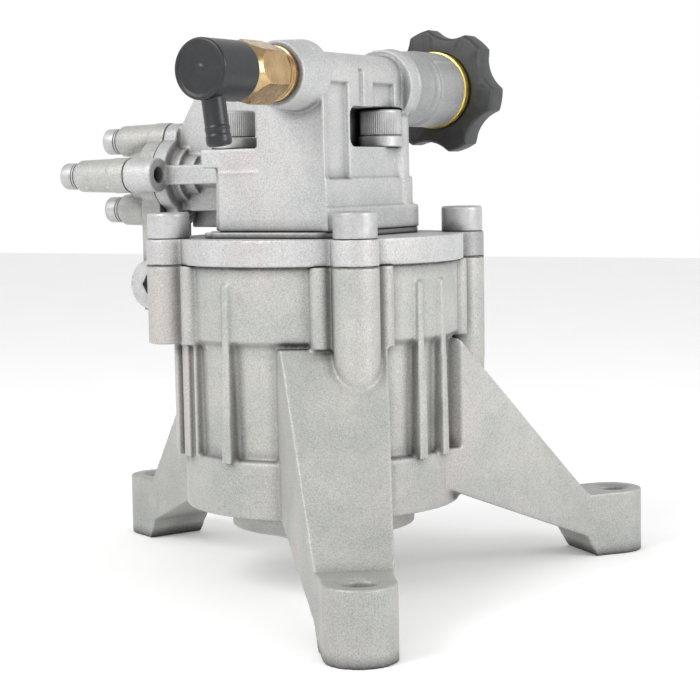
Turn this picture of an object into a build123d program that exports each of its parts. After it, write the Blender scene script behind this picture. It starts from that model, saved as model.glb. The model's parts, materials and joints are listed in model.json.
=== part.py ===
from build123d import *
import os
from math import atan, cos, degrees, radians, sin

# Vertical-shaft axial pump. Millimetres, +Z up. The origin is on the drive shaft axis, in the plane on
# which the three feet stand. The relief valve points to -Y, the unloader knob to +Y and the valve cover to -X.

os.makedirs("parts", exist_ok=True)

# --- driving dimensions -------------------------------------------------------------------------
FOOT_RADIUS = 101.6          # half of the 203.2 mm engine bolt circle
SLIM_LEG_ANGLES = (-53, 157)
BROAD_LEG_ANGLE = 52
FOOT_HEIGHT = 20.6
FOOT_HALF = 10
FOOT_HOLE_R = 4.5

BOSS_BOTTOM = 17.9
RING_BOTTOM = 25.4
RING_TOP = 42.5
BAND_BOTTOM = 75.5
CASING_TOP = 98.9
FLANGE_BOTTOM = 99.3
FLANGE_TOP = 107.1
PLATE_TOP = 108.9

BOSS_R = 28.3
RING_R = 42.3
BODY_R = 40.5
BAND_R = 42.6
FLANGE_R = 44.6
CAVITY_R = 36
CAVITY_BOTTOM = 46.8
LOBE_PITCH_R = 46.4
LOBE_R = 6.8
LOBE_ANGLES = (45, 135, 225, 315)

M8_HEAD_R = 6.4
M8_HEAD_H = 7.9
M8_R = 4
M8_HEX = 6

SHAFT_END_Z = 14.4
SHAFT_BORE_R = 11.1125       # 7/8 inch crankshaft
BEARING_Z = 30
BEARING_WIDTH = 14
BEARING_OUTER_R = 31
BEARING_INNER_R = 17.5

PISTON_COUNT = 3
PISTON_PITCH_R = 16
PISTON_R = 7
PISTON_FIRST_ANGLE = 90
PISTON_STROKE = 4.6
PISTON_FOOT_Z = 65.4
PISTON_TOP_Z = 106
RACE_TOP_Z = 61
TILT = degrees(atan(PISTON_STROKE / (2 * PISTON_PITCH_R)))
SEAL_POCKET_Z = 92
SEAL_POCKET_R = 10.2
RUNNING_FIT = 0.05

HEAD_X0, HEAD_X1 = -15.6, 21.5
HEAD_Y0, HEAD_Y1 = -31, 19.9
LEDGE_Z = 133.6
COLUMN_X0 = -1.6
COLUMN_TOP = 161.4
PARTING_Z = 126.4

PORT_X = 13.5                # relief valve and unloader lie on this line
RELIEF_Z = 154.1
BARREL_Z = 152.2
RELIEF_FACE_Y = -42.6
HEX_END_Y = -62.5
CAP_END_Y = -79.6
BARREL_END_Y = 50
RING_END_Y = 52.8
KNOB_BACK_Y = 53.4
KNOB_FRONT_Y = 65

COVER_FACE_X = -54.4
COVER_FLANGE_X = -60.3
COVER_BOSS_X = -73.8
COVER_SCREWS = ((-22, 126.4), (0, 137.5), (22, 126.4), (0, 115.3))   # (y, z) of each screw

HEAD_BOLTS = ((-14, -24), (17.1, 9.9), (-17.1, 9.9))


def polar(radius, angle, z=0):
    """A point at a radius and an angle round the shaft axis."""
    return (radius * cos(radians(angle)), radius * sin(radians(angle)), z)


PISTON_ANGLES = [PISTON_FIRST_ANGLE + n * 360 / PISTON_COUNT for n in range(PISTON_COUNT)]
PISTON_POINTS = [polar(PISTON_PITCH_R, a)[:2] for a in PISTON_ANGLES]
LOBE_POINTS = [polar(LOBE_PITCH_R, a)[:2] for a in LOBE_ANGLES]

# Each cylinder has one inlet and one outlet check valve, side by side above its plunger.
VALVE_PITCH_R = 14.5
VALVE_OFFSET = 5.8
VALVE_CAGE_R = 4.6
VALVE_Z0, VALVE_Z1 = 112.2, 122.8


def valve_point(angle, side):
    """Axis of a check valve; side +1 is the inlet and -1 the outlet."""
    x, y, _ = polar(VALVE_PITCH_R, angle)
    return (x - side * VALVE_OFFSET * sin(radians(angle)), y + side * VALVE_OFFSET * cos(radians(angle)))


INLET_POINTS = [valve_point(a, 1) for a in PISTON_ANGLES]
OUTLET_POINTS = [valve_point(a, -1) for a in PISTON_ANGLES]


# Planes used for turned pieces whose axis is horizontal.
def plane_y(y, x=PORT_X, z=BARREL_Z):
    """Sketch plane whose normal is +Y: sketch x is world X and sketch y is world -Z."""
    return Plane(origin=(x, y, z), x_dir=(1, 0, 0), z_dir=(0, 1, 0))


def plane_x(x, y=0, z=PARTING_Z):
    """Sketch plane whose normal is +X: sketch x is world Y and sketch y is world Z."""
    return Plane(origin=(x, y, z), x_dir=(0, 1, 0), z_dir=(1, 0, 0))


# --- crankcase casting with three legs ----------------------------------------------------------
LEG_ROOT_TOP_Z = 75.5
LEG_HALF_FOOT = 11


def leg_shape(root_r, root_half, top_r, slope):
    """Leg pointing to +X. It narrows in plan to the foot and its top falls at the given slope."""
    with BuildPart() as leg:
        # side profile in the radial plane
        with BuildSketch(Plane.XZ):
            with BuildLine():
                Polyline(
                    (root_r, RING_BOTTOM + 1 + (38 - root_r) * 0.41),
                    (root_r, LEG_ROOT_TOP_Z),
                    (top_r - (LEG_ROOT_TOP_Z - 24.5) / slope, LEG_ROOT_TOP_Z),
                    (top_r, 24.5),
                    (88.5, FOOT_HEIGHT),
                    (FOOT_RADIUS, FOOT_HEIGHT),
                    (FOOT_RADIUS, 0),
                    (91, 0),
                    (87, 7),
                    (38, RING_BOTTOM + 1),
                    close=True,
                )
            make_face()
        extrude(amount=root_half, both=True)
        with BuildSketch(Plane.XY):
            with BuildLine():
                Polyline(
                    (root_r, -root_half),
                    (87, -LEG_HALF_FOOT),
                    (93, -FOOT_HALF),
                    (FOOT_RADIUS, -FOOT_HALF),
                    (FOOT_RADIUS, FOOT_HALF),
                    (93, FOOT_HALF),
                    (87, LEG_HALF_FOOT),
                    (root_r, root_half),
                    close=True,
                )
            make_face()
        extrude(amount=LEG_ROOT_TOP_Z, mode=Mode.INTERSECT)
        with BuildSketch(Plane.XY):
            with Locations((FOOT_RADIUS, 0)):
                Circle(FOOT_HALF)
        extrude(amount=FOOT_HEIGHT)
        with Locations((FOOT_RADIUS, 0, FOOT_HEIGHT)):
            CounterBoreHole(FOOT_HOLE_R, 5.6, 0.8, depth=FOOT_HEIGHT + 1)
    return leg.part


# two slim legs and, between them, one that spreads out to the ring
SLIM_LEG = leg_shape(37, 16.2, 85, 1.218)
with BuildPart() as broad_leg:
    add(leg_shape(27.8, 31.9, 84, 1.02))
    # above the ring its root stops short of the upright rib beside it
    with BuildSketch(Plane.XY.offset(RING_TOP)):
        for side in (-1, 1):
            with BuildLine():
                Polyline((0, 0), polar(60, side * 40.5)[:2], polar(60, side * 75)[:2], close=True)
            make_face()
    extrude(amount=LEG_ROOT_TOP_Z - RING_TOP + 1, mode=Mode.SUBTRACT)

RIB_R = 44.1
RIB_ANGLES = (-98, -15, 0, 98, 196)
PADS = ((219, 12.5, 44.9), (233.5, 5, 44.1), (239.5, 1.4, 42.8))    # angle, width, outer radius
SHOULDER_TURN = 12.5
SHOULDER_R = 3.4
SHOULDER_PITCH_R = 42.3
SHAFT_SEAL_R = 23.5

with BuildPart() as casing:
    # turned outline: boss, ring, body and band
    with BuildSketch(Plane.XZ):
        with BuildLine():
            Polyline(
                (0, BOSS_BOTTOM),
                (BOSS_R, BOSS_BOTTOM),
                (BOSS_R, RING_BOTTOM),
                (RING_R, RING_BOTTOM),
                (RING_R, RING_TOP - 0.8),
                (RING_R - 0.8, RING_TOP),
                (BODY_R - 0.4, RING_TOP),
                (BODY_R, BAND_BOTTOM),
                (BAND_R, BAND_BOTTOM + 2),
                (BAND_R, CASING_TOP),
                (0, CASING_TOP),
                close=True,
            )
        make_face()
    revolve(axis=Axis.Z)
    # bolt columns with a shoulder on each side
    for angle in LOBE_ANGLES:
        with BuildSketch(Plane.XY.offset(BAND_BOTTOM)):
            with Locations(polar(LOBE_PITCH_R, angle)[:2]):
                Circle(LOBE_R)
            with Locations(polar(LOBE_PITCH_R - 5, angle)[:2]):
                Rectangle(10, 2 * LOBE_R, rotation=angle)
            for turn in (-SHOULDER_TURN, SHOULDER_TURN):
                with Locations(polar(SHOULDER_PITCH_R, angle + turn)[:2]):
                    Circle(SHOULDER_R)
        extrude(amount=CASING_TOP - BAND_BOTTOM)
    # upright ribs that widen towards the ring
    for angle in RIB_ANGLES:
        with BuildSketch(Plane.XY.offset(RING_TOP - 1)):
            with Locations(polar(BODY_R - 1, angle)[:2]):
                Rectangle(2 * (RIB_R - BODY_R + 1), 3.6, rotation=angle)
        extrude(amount=CASING_TOP - RING_TOP - 4, taper=0.8)
    for angle, width, radius in PADS:
        with BuildSketch(Plane.XY.offset(RING_TOP - 1)):
            with Locations(polar(radius - 4, angle)[:2]):
                Rectangle(8, width, rotation=angle)
        extrude(amount=BAND_BOTTOM - RING_TOP + 3)
    for angle in SLIM_LEG_ANGLES:
        add(SLIM_LEG.rotate(Axis.Z, angle))
    add(broad_leg.part.rotate(Axis.Z, BROAD_LEG_ANGLE))
    # crank chamber, bearing seat and seal seat
    with BuildSketch(Plane.XZ):
        with BuildLine():
            Polyline(
                (0, BOSS_BOTTOM - 1),
                (SHAFT_SEAL_R, BOSS_BOTTOM - 1),
                (SHAFT_SEAL_R, RING_BOTTOM + 0.6),
                (19, RING_BOTTOM + 0.6),
                (19, BEARING_Z),
                (BEARING_OUTER_R, BEARING_Z),
                (BEARING_OUTER_R, BEARING_Z + BEARING_WIDTH),
                (BEARING_OUTER_R + 1.4, BEARING_Z + BEARING_WIDTH),
                (BEARING_OUTER_R + 1.4, BEARING_Z + BEARING_WIDTH + 1.6),
                (BEARING_OUTER_R, BEARING_Z + BEARING_WIDTH + 1.6),
                (BEARING_OUTER_R, CAVITY_BOTTOM),
                (CAVITY_R, CAVITY_BOTTOM),
                (CAVITY_R, CASING_TOP + 1),
                (0, CASING_TOP + 1),
                close=True,
            )
        make_face()
    revolve(axis=Axis.Z, mode=Mode.SUBTRACT)
    # threaded holes for the flange bolts, and the oil filler
    for point in LOBE_POINTS:
        with Locations((*point, CASING_TOP)):
            Hole(M8_R, depth=17)
    OIL_PLUG = Plane(origin=(0, BODY_R + 4, 86), x_dir=(1, 0, 0), z_dir=(0, 1, 0))
    with BuildSketch(OIL_PLUG.offset(-7)):
        Circle(10)
    extrude(amount=7)
    with BuildSketch(OIL_PLUG):
        Circle(6.5)
    extrude(amount=-12, mode=Mode.SUBTRACT)
casing.part.label = "casing"
export_step(casing.part, "parts/casing.step")

with BuildPart() as oil_plug:
    with BuildSketch(OIL_PLUG):
        Circle(9)
    extrude(amount=1.6)
    with BuildSketch(OIL_PLUG.offset(1.6)):
        RegularPolygon(6.5, 6, major_radius=False)
    extrude(amount=5)
    with BuildSketch(OIL_PLUG):
        Circle(6.5)
    extrude(amount=-8)
oil_plug.part.label = "oil_plug"
export_step(oil_plug.part, "parts/oil_plug.step")


# --- guide flange, gasket and plate -------------------------------------------------------------
def flange_outline(radius):
    """Round outline with a lobe at each bolt."""
    Circle(radius)
    for angle in LOBE_ANGLES:
        with Locations(polar(LOBE_PITCH_R, angle)[:2]):
            Circle(LOBE_R)
        with Locations(polar(LOBE_PITCH_R - 5, angle)[:2]):
            Rectangle(10, 2 * LOBE_R, rotation=angle)


with BuildPart() as casing_gasket:
    with BuildSketch(Plane.XY.offset(CASING_TOP)):
        flange_outline(BAND_R)
        Circle(CAVITY_R + 0.4, mode=Mode.SUBTRACT)
        with Locations(*LOBE_POINTS):
            Circle(M8_R + 0.3, mode=Mode.SUBTRACT)
    extrude(amount=FLANGE_BOTTOM - CASING_TOP)
casing_gasket.part.label = "casing_gasket"
export_step(casing_gasket.part, "parts/casing_gasket.step")

HUB_BOTTOM = 86
HUB_R = 11.6

with BuildPart() as guide_flange:
    with BuildSketch(Plane.XY.offset(FLANGE_BOTTOM)):
        flange_outline(FLANGE_R)
    extrude(amount=FLANGE_TOP - FLANGE_BOTTOM)
    # locating spigot and the three guide towers
    with BuildSketch(Plane.XY.offset(FLANGE_BOTTOM)):
        Circle(CAVITY_R - RUNNING_FIT)
    extrude(amount=-4)
    with BuildSketch(Plane.XY.offset(HUB_BOTTOM)):
        with Locations(*PISTON_POINTS):
            Circle(HUB_R)
        Circle(12)
    extrude(amount=FLANGE_BOTTOM - HUB_BOTTOM)
    with BuildSketch(Plane.XY.offset(HUB_BOTTOM)):
        with Locations(*PISTON_POINTS):
            Circle(PISTON_R + RUNNING_FIT)
    extrude(amount=30, mode=Mode.SUBTRACT)
    with BuildSketch(Plane.XY.offset(SEAL_POCKET_Z)):
        with Locations(*PISTON_POINTS):
            Circle(SEAL_POCKET_R)
    extrude(amount=30, mode=Mode.SUBTRACT)
    with BuildSketch(Plane.XY.offset(FLANGE_BOTTOM - 1)):
        with Locations(*LOBE_POINTS):
            Circle(M8_R + 0.3)
    extrude(amount=20, mode=Mode.SUBTRACT)
    for point in HEAD_BOLTS:
        with Locations((*point, FLANGE_TOP)):
            Hole(M8_R, depth=14)
guide_flange.part.label = "guide_flange"
export_step(guide_flange.part, "parts/guide_flange.step")

PLATE_X0, PLATE_X1 = -18.5, 22.2
PLATE_Y0, PLATE_Y1 = -33, 25.5

with BuildPart() as valve_plate:
    with BuildSketch(Plane.XY.offset(FLANGE_TOP)):
        with Locations(((PLATE_X0 + PLATE_X1) / 2, (PLATE_Y0 + PLATE_Y1) / 2)):
            RectangleRounded(PLATE_X1 - PLATE_X0, PLATE_Y1 - PLATE_Y0, 3)
        # locating tab at the corner
        with Locations((PLATE_X0 - 0.6, PLATE_Y0 + 3)):
            Circle(1.8)
        with Locations((-21, -2)):
            Rectangle(12, 34)
        with Locations(*PISTON_POINTS):
            Circle(PISTON_R + 0.6, mode=Mode.SUBTRACT)
        with Locations(*HEAD_BOLTS):
            Circle(M8_R + 0.3, mode=Mode.SUBTRACT)
    extrude(amount=PLATE_TOP - FLANGE_TOP)
valve_plate.part.label = "valve_plate"
export_step(valve_plate.part, "parts/valve_plate.step")


# --- manifold head casting ----------------------------------------------------------------------
def block(x0, x1, y0, y1, z0, z1, mode=Mode.ADD):
    """A box from its corner coordinates."""
    with Locations(((x0 + x1) / 2, (y0 + y1) / 2, (z0 + z1) / 2)):
        Box(x1 - x0, y1 - y0, z1 - z0, mode=mode)


DISC_R = 12.2
DISC_END_X = -49.4
LUG_R = 5.25
LUG_END_X = -43.7
NECK_STEPS = ((9, -46.2), (7, -42), (5.2, -20))
OUTLET_X, OUTLET_Z = -12, 121
POCKET_Y0, POCKET_TOP = -15.5, 145.4
OUTLET_FACE_Y = 27
OUTLET_DEPTH = 7.2
BARREL_BORE_R, BARREL_BORE_Y = 8, 20.5
SEAT_BORE_R, SEAT_BORE_Y = 5.6, 2

with BuildPart() as pump_head:
    block(HEAD_X0, HEAD_X1, HEAD_Y0, HEAD_Y1, PLATE_TOP, LEDGE_Z)
    block(HEAD_X0, HEAD_X1 + 0.7, HEAD_Y0, HEAD_Y1 + 1, PLATE_TOP, 124.4)
    block(HEAD_X0, HEAD_X1 + 1.4, HEAD_Y0, HEAD_Y1 + 3.2, PLATE_TOP, 115.9)
    # side towards the valve cover, raised clear of the plate further out
    block(-24, HEAD_X0 + 1, -19, HEAD_Y1, PLATE_TOP, LEDGE_Z)
    block(-21.5, HEAD_X0 + 1, -31, -18, 128, LEDGE_Z)
    # column that carries the relief valve and the unloader
    with BuildSketch(Plane.XZ.offset(-HEAD_Y1)):
        with Locations(((COLUMN_X0 + HEAD_X1) / 2, (LEDGE_Z + COLUMN_TOP) / 2 - 2)):
            RectangleRounded(HEAD_X1 - COLUMN_X0, COLUMN_TOP - LEDGE_Z + 4, 7)
        with Locations(((COLUMN_X0 + HEAD_X1) / 2, LEDGE_Z)):
            Rectangle(HEAD_X1 - COLUMN_X0, 20)
    extrude(amount=HEAD_Y1 - HEAD_Y0)
    # relief valve boss, slightly conical
    with BuildSketch(plane_y(HEAD_Y0 + 2, z=RELIEF_Z)):
        Circle(10.4)
    extrude(amount=-(HEAD_Y0 + 2 - RELIEF_FACE_Y), taper=4)
    # unloader barrel with its three steps
    with BuildSketch(plane_y(HEAD_Y1 - 4)):
        Circle(11.4)
    extrude(amount=35.5 - HEAD_Y1 + 4)
    with BuildSketch(plane_y(35.5)):
        Circle(12)
    extrude(amount=BARREL_END_Y - 35.5)
    # neck and flange disc on the valve cover side
    start = COVER_FACE_X
    with BuildSketch(plane_x(start)):
        Circle(DISC_R)
    extrude(amount=DISC_END_X - start)
    for radius, end in NECK_STEPS:
        with BuildSketch(plane_x(start)):
            Circle(radius)
        extrude(amount=end - start)
    for y, z in COVER_SCREWS:
        with BuildSketch(plane_x(start, y, z)):
            Circle(LUG_R)
        extrude(amount=LUG_END_X - start if y else 5)
    block(start, start + 5, -22, 22, PARTING_Z - 3.6, PARTING_Z + 3.6)
    # tie ribs from the lugs to the block
    for y in (-19, 14.5):
        block(LUG_END_X - 1, -20, y, y + 4.5, 123.3, 129.3)
    # upright web that carries the neck, with a sloped gusset above it
    block(-52, HEAD_X0 + 1, -2.6, 2.6, 114.7, 138.4)
    # low far wall that closes the gap behind the neck
    block(-52, HEAD_X0 + 1, 6, 15, PLATE_TOP + 0.4, 117)
    with BuildSketch(Plane.XZ.offset(-3)):
        with BuildLine():
            Polyline(
                (-52, 130),
                (-52, 139.5),
                (-49.6, 140.6),
                (-38.4, 158.4),
                (0, 158.4),
                (0, 130),
                close=True,
            )
        make_face()
    extrude(amount=6)
    # outlet boss on the far side
    with BuildSketch(plane_y(HEAD_Y1 - 2, OUTLET_X, OUTLET_Z)):
        Circle(12)
    extrude(amount=OUTLET_FACE_Y - HEAD_Y1 + 2)
    # pocket for the head bolt in the +X face, with rounded ends
    with BuildSketch(Plane.YZ.offset(10.2)):
        with Locations(((POCKET_Y0 + 9.9) / 2, (LEDGE_Z + POCKET_TOP) / 2)):
            RectangleRounded(9.9 - POCKET_Y0, POCKET_TOP - LEDGE_Z, 3)
        with Locations((4.9, (LEDGE_Z + POCKET_TOP) / 2)):
            Rectangle(10, POCKET_TOP - LEDGE_Z)
    extrude(amount=20, mode=Mode.SUBTRACT)
    with BuildSketch(Plane.XY.offset(LEDGE_Z)):
        with Locations(HEAD_BOLTS[1]):
            Circle(7.1)
    extrude(amount=POCKET_TOP - LEDGE_Z, mode=Mode.SUBTRACT)
    # shallow panels of the +X face, between its upright strips
    for y0, y1, top in ((-18.5, -8.9, 155), (-6.1, -1.2, 154.5)):
        block(HEAD_X1 - 1, 30, y0, y1, POCKET_TOP + 1.2, top, mode=Mode.SUBTRACT)
    # bores: relief valve, unloader, riser between them and the outlet gallery
    with BuildSketch(plane_y(RELIEF_FACE_Y - 1, z=RELIEF_Z)):
        Circle(5.5)
    extrude(amount=18, mode=Mode.SUBTRACT)
    with BuildSketch(plane_y(RELIEF_FACE_Y + 10, z=RELIEF_Z)):
        Circle(2.5)
    extrude(amount=30, mode=Mode.SUBTRACT)
    with BuildSketch(plane_y(BARREL_END_Y + 1)):
        Circle(BARREL_BORE_R)
    extrude(amount=-(BARREL_END_Y + 1 - BARREL_BORE_Y), mode=Mode.SUBTRACT)
    with BuildSketch(plane_y(BARREL_END_Y + 1)):
        Circle(SEAT_BORE_R)
    extrude(amount=-(BARREL_END_Y + 1 - SEAT_BORE_Y), mode=Mode.SUBTRACT)
    with BuildSketch(plane_y(2)):
        Circle(3)
    extrude(amount=-14, mode=Mode.SUBTRACT)
    with BuildSketch(Plane.XY.offset(124)):
        with Locations((PORT_X - 7, -6)):
            Circle(2)
    extrude(amount=28, mode=Mode.SUBTRACT)
    with BuildSketch(plane_x(PORT_X, -6, BARREL_Z)):
        Circle(2)
    extrude(amount=-8, mode=Mode.SUBTRACT)
    # gallery drillings above the valves meet at each riser
    for point in OUTLET_POINTS + INLET_POINTS:
        with BuildSketch(Plane.XY.offset(VALVE_Z1 - 1)):
            with Locations(point):
                Circle(1.8)
        extrude(amount=4, mode=Mode.SUBTRACT)
    # neck bore carries inlet water from the cover
    with BuildSketch(plane_x(COVER_FACE_X - 1)):
        Circle(3)
    extrude(amount=-COVER_FACE_X - 12, mode=Mode.SUBTRACT)
    with BuildSketch(plane_y(OUTLET_FACE_Y + 1, OUTLET_X, OUTLET_Z)):
        Circle(8)
    extrude(amount=-OUTLET_DEPTH - 1, mode=Mode.SUBTRACT)
    with BuildSketch(plane_y(OUTLET_FACE_Y, OUTLET_X, 128)):
        Circle(1.8)
    extrude(amount=-22, mode=Mode.SUBTRACT)
    # pumping chambers and check valve pockets, open at the bottom face
    with BuildSketch(Plane.XY.offset(PLATE_TOP)):
        with Locations(*PISTON_POINTS):
            Circle(PISTON_R + 0.6)
        with Locations(*INLET_POINTS, *OUTLET_POINTS):
            Circle(VALVE_CAGE_R + 0.1)
    extrude(amount=VALVE_Z0 - PLATE_TOP, mode=Mode.SUBTRACT)
    with BuildSketch(Plane.XY.offset(PLATE_TOP)):
        with Locations(*INLET_POINTS, *OUTLET_POINTS):
            Circle(VALVE_CAGE_R + RUNNING_FIT)
    extrude(amount=VALVE_Z1 - PLATE_TOP, mode=Mode.SUBTRACT)
    # bolt holes
    with BuildSketch(Plane.XY.offset(PLATE_TOP - 1)):
        with Locations(*HEAD_BOLTS):
            Circle(M8_R + 0.3)
    extrude(amount=LEDGE_Z - PLATE_TOP + 2, mode=Mode.SUBTRACT)
    for y, z in COVER_SCREWS:
        with BuildSketch(plane_x(COVER_FACE_X - 1, y, z)):
            Circle(2.5)
        extrude(amount=9 if y == 0 else 14, mode=Mode.SUBTRACT)
pump_head.part.label = "pump_head"
export_step(pump_head.part, "parts/pump_head.step")

# --- valve cover --------------------------------------------------------------------------------
COVER_BOSS_R = 4.9
M5_R = 2.5
M5_BORE_R = 2.75
DROP_X0, DROP_X1 = -61.8, COVER_FACE_X
DROP_BOTTOM = 83
PLUG_X, PLUG_Z = -57, 91.6
RISER_X = -58
INLET_FACE_Y = 20


def plane_away(x, y=0, z=PARTING_Z):
    """Sketch plane whose normal is -X: sketch x is world -Y and sketch y is world Z."""
    return Plane(origin=(x, y, z), x_dir=(0, -1, 0), z_dir=(-1, 0, 0))


with BuildPart() as valve_cover:
    with BuildSketch(plane_away(COVER_FACE_X)):
        Circle(DISC_R)
        Rectangle(44, 8)
        for y, z in COVER_SCREWS:
            with Locations((-y, z - PARTING_Z)):
                Circle(LUG_R + 0.3)
    extrude(amount=COVER_FACE_X - COVER_FLANGE_X)
    with BuildSketch(plane_away(COVER_FLANGE_X + 1)):
        Circle(11)
    extrude(amount=9, taper=18)
    for y, z in COVER_SCREWS:
        with BuildSketch(plane_away(COVER_FLANGE_X + 1, y, z)):
            Circle(COVER_BOSS_R + 0.5)
        extrude(amount=COVER_FLANGE_X + 1 - COVER_BOSS_X, taper=1.6)
    # drop leg with the gallery plug and the inlet boss
    block(DROP_X0, DROP_X1, -8, 9, DROP_BOTTOM, 122)
    with BuildSketch(plane_y(-8, PLUG_X, PLUG_Z)):
        Circle(8.6)
    extrude(amount=INLET_FACE_Y + 8)
    with BuildSketch(plane_y(INLET_FACE_Y, PLUG_X, PLUG_Z)):
        Circle(11)
    extrude(amount=-8)
    # water way: inlet bore, riser and outlet to the neck
    with BuildSketch(plane_y(INLET_FACE_Y + 1, PLUG_X, PLUG_Z)):
        Circle(6)
    extrude(amount=-23, mode=Mode.SUBTRACT)
    with BuildSketch(Plane.XY.offset(PLUG_Z)):
        with Locations((RISER_X, 0)):
            Circle(2.4)
    extrude(amount=PARTING_Z - PLUG_Z, mode=Mode.SUBTRACT)
    with BuildSketch(plane_away(COVER_FACE_X + 1)):
        Circle(3)
    extrude(amount=COVER_FACE_X + 1 - RISER_X, mode=Mode.SUBTRACT)
    for y, z in COVER_SCREWS:
        with BuildSketch(plane_away(COVER_FACE_X + 1, y, z)):
            Circle(M5_BORE_R)
        extrude(amount=26, mode=Mode.SUBTRACT)
valve_cover.part.label = "valve_cover"
export_step(valve_cover.part, "parts/valve_cover.step")

with BuildPart() as gallery_plug:
    with BuildSketch(plane_y(-8, PLUG_X, PLUG_Z)):
        Circle(7.9)
    extrude(amount=-2.4)
    with BuildSketch(plane_y(-10.4, PLUG_X, PLUG_Z)):
        RegularPolygon(3, 6, major_radius=False)
    extrude(amount=1.6, mode=Mode.SUBTRACT)
gallery_plug.part.label = "gallery_plug"
export_step(gallery_plug.part, "parts/gallery_plug.step")


# --- fasteners ----------------------------------------------------------------------------------
def socket_screw(radius, length, head_r, head_h, hexagon):
    """Socket head cap screw standing on z=0 under its head."""
    with BuildPart() as screw:
        with BuildSketch(Plane.XY):
            Circle(head_r)
        extrude(amount=head_h)
        chamfer(screw.faces().sort_by(Axis.Z)[-1].edges(), 0.6)
        with BuildSketch(Plane.XY.offset(head_h)):
            RegularPolygon(hexagon / 2, 6, major_radius=False)
        extrude(amount=-head_h * 0.55, mode=Mode.SUBTRACT)
        with BuildSketch(Plane.XY):
            Circle(radius)
        extrude(amount=-length)
    return screw.part


M8_LONG = socket_screw(M8_R - 0.02, 23, M8_HEAD_R, M8_HEAD_H, M8_HEX)
with BuildPart() as flange_bolts:
    for point in LOBE_POINTS:
        add(M8_LONG.moved(Location((*point, FLANGE_TOP))))
flange_bolts.part.label = "flange_bolts"
export_step(flange_bolts.part, "parts/flange_bolts.step")

FLAT_WASHER = 1.5
SPRING_WASHER = 1.9
M8_HEAD = socket_screw(M8_R - 0.02, LEDGE_Z - FLANGE_TOP + FLAT_WASHER + SPRING_WASHER + 11,
                       M8_HEAD_R, M8_HEAD_H, M8_HEX)
with BuildPart() as head_bolts:
    for point in HEAD_BOLTS:
        add(M8_HEAD.moved(Location((*point, LEDGE_Z + FLAT_WASHER + SPRING_WASHER))))
head_bolts.part.label = "head_bolts"
export_step(head_bolts.part, "parts/head_bolts.step")

with BuildPart() as head_bolt_washers:
    with BuildSketch(Plane.XY.offset(LEDGE_Z)):
        with Locations(*HEAD_BOLTS):
            Circle(6.9)
            Circle(M8_R + 0.2, mode=Mode.SUBTRACT)
    extrude(amount=FLAT_WASHER)
    # split spring washers, as solids of their own
    with BuildSketch(Plane.XY.offset(LEDGE_Z + FLAT_WASHER)):
        with Locations(*HEAD_BOLTS):
            Circle(6.3)
            Circle(M8_R + 0.2, mode=Mode.SUBTRACT)
        for x, y in HEAD_BOLTS:
            with Locations((x + 5.2, y)):
                Rectangle(3.6, 0.7, mode=Mode.SUBTRACT)
    extrude(amount=SPRING_WASHER)
head_bolt_washers.part.label = "head_bolt_washers"
export_step(head_bolt_washers.part, "parts/head_bolt_washers.step")

M5_WASHER = 1.9
M5_HEAD_R = 4.2
M5_HEAD_H = 4.4
COVER_SCREW = socket_screw(M5_R - 0.02, 27.5, M5_HEAD_R, M5_HEAD_H, 4)
with BuildPart() as cover_screws:
    for y, z in COVER_SCREWS:
        add(COVER_SCREW.moved(Location((COVER_BOSS_X - M5_WASHER, y, z), (0, -90, 0))))
cover_screws.part.label = "cover_screws"
export_step(cover_screws.part, "parts/cover_screws.step")

with BuildPart() as cover_screw_washers:
    for y, z in COVER_SCREWS:
        with BuildSketch(plane_x(COVER_BOSS_X, y, z)):
            Circle(M5_HEAD_R)
            Circle(M5_R + 0.1, mode=Mode.SUBTRACT)
        extrude(amount=-M5_WASHER)
cover_screw_washers.part.label = "cover_screw_washers"
export_step(cover_screw_washers.part, "parts/cover_screw_washers.step")

# --- drive shaft and its bearing ----------------------------------------------------------------
DRIVE_FLANGE_Z = 47.2
DRIVE_FLANGE_TOP = 50
SWASH_R = 33

with BuildPart() as drive_shaft:
    with BuildSketch(Plane.XZ):
        with BuildLine():
            Polyline(
                (SHAFT_BORE_R, SHAFT_END_Z),
                (15.4, SHAFT_END_Z),
                (16, SHAFT_END_Z + 0.6),
                (16, BEARING_Z - 1),
                (BEARING_INNER_R, BEARING_Z - 1),
                (BEARING_INNER_R, BEARING_Z + BEARING_WIDTH),
                (20, BEARING_Z + BEARING_WIDTH),
                (20, DRIVE_FLANGE_Z),
                (SWASH_R, DRIVE_FLANGE_Z),
                (SWASH_R, DRIVE_FLANGE_TOP),
                (SHAFT_BORE_R, DRIVE_FLANGE_TOP),
                close=True,
            )
        make_face()
    revolve(axis=Axis.Z)
    # keyway along the bore
    block(0, SHAFT_BORE_R + 2.3, -2.38, 2.38, SHAFT_END_Z - 1, DRIVE_FLANGE_TOP + 1, mode=Mode.SUBTRACT)
drive_shaft.part.label = "drive_shaft"
export_step(drive_shaft.part, "parts/drive_shaft.step")

RACE_THICKNESS = 2
NEEDLE_R = 1
TILT_AXIS = (-sin(radians(TILT)), 0, cos(radians(TILT)))
SWASH_TOP_Z = RACE_TOP_Z - (RACE_THICKNESS + 2 * NEEDLE_R) / cos(radians(TILT))


def tilted(z):
    """Plane parallel to the face of the swash plate, through the shaft axis at height z."""
    return Plane(origin=(0, 0, z), z_dir=TILT_AXIS)


with BuildPart() as swash_plate:
    with BuildSketch(Plane.XY.offset(DRIVE_FLANGE_TOP)):
        Circle(SWASH_R)
    extrude(amount=20)
    split(bisect_by=tilted(SWASH_TOP_Z), keep=Keep.BOTTOM)
    with BuildSketch(Plane.XY.offset(DRIVE_FLANGE_TOP)):
        Circle(SHAFT_BORE_R)
    extrude(amount=3, mode=Mode.SUBTRACT)
swash_plate.part.label = "swash_plate"
export_step(swash_plate.part, "parts/swash_plate.step")

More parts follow.
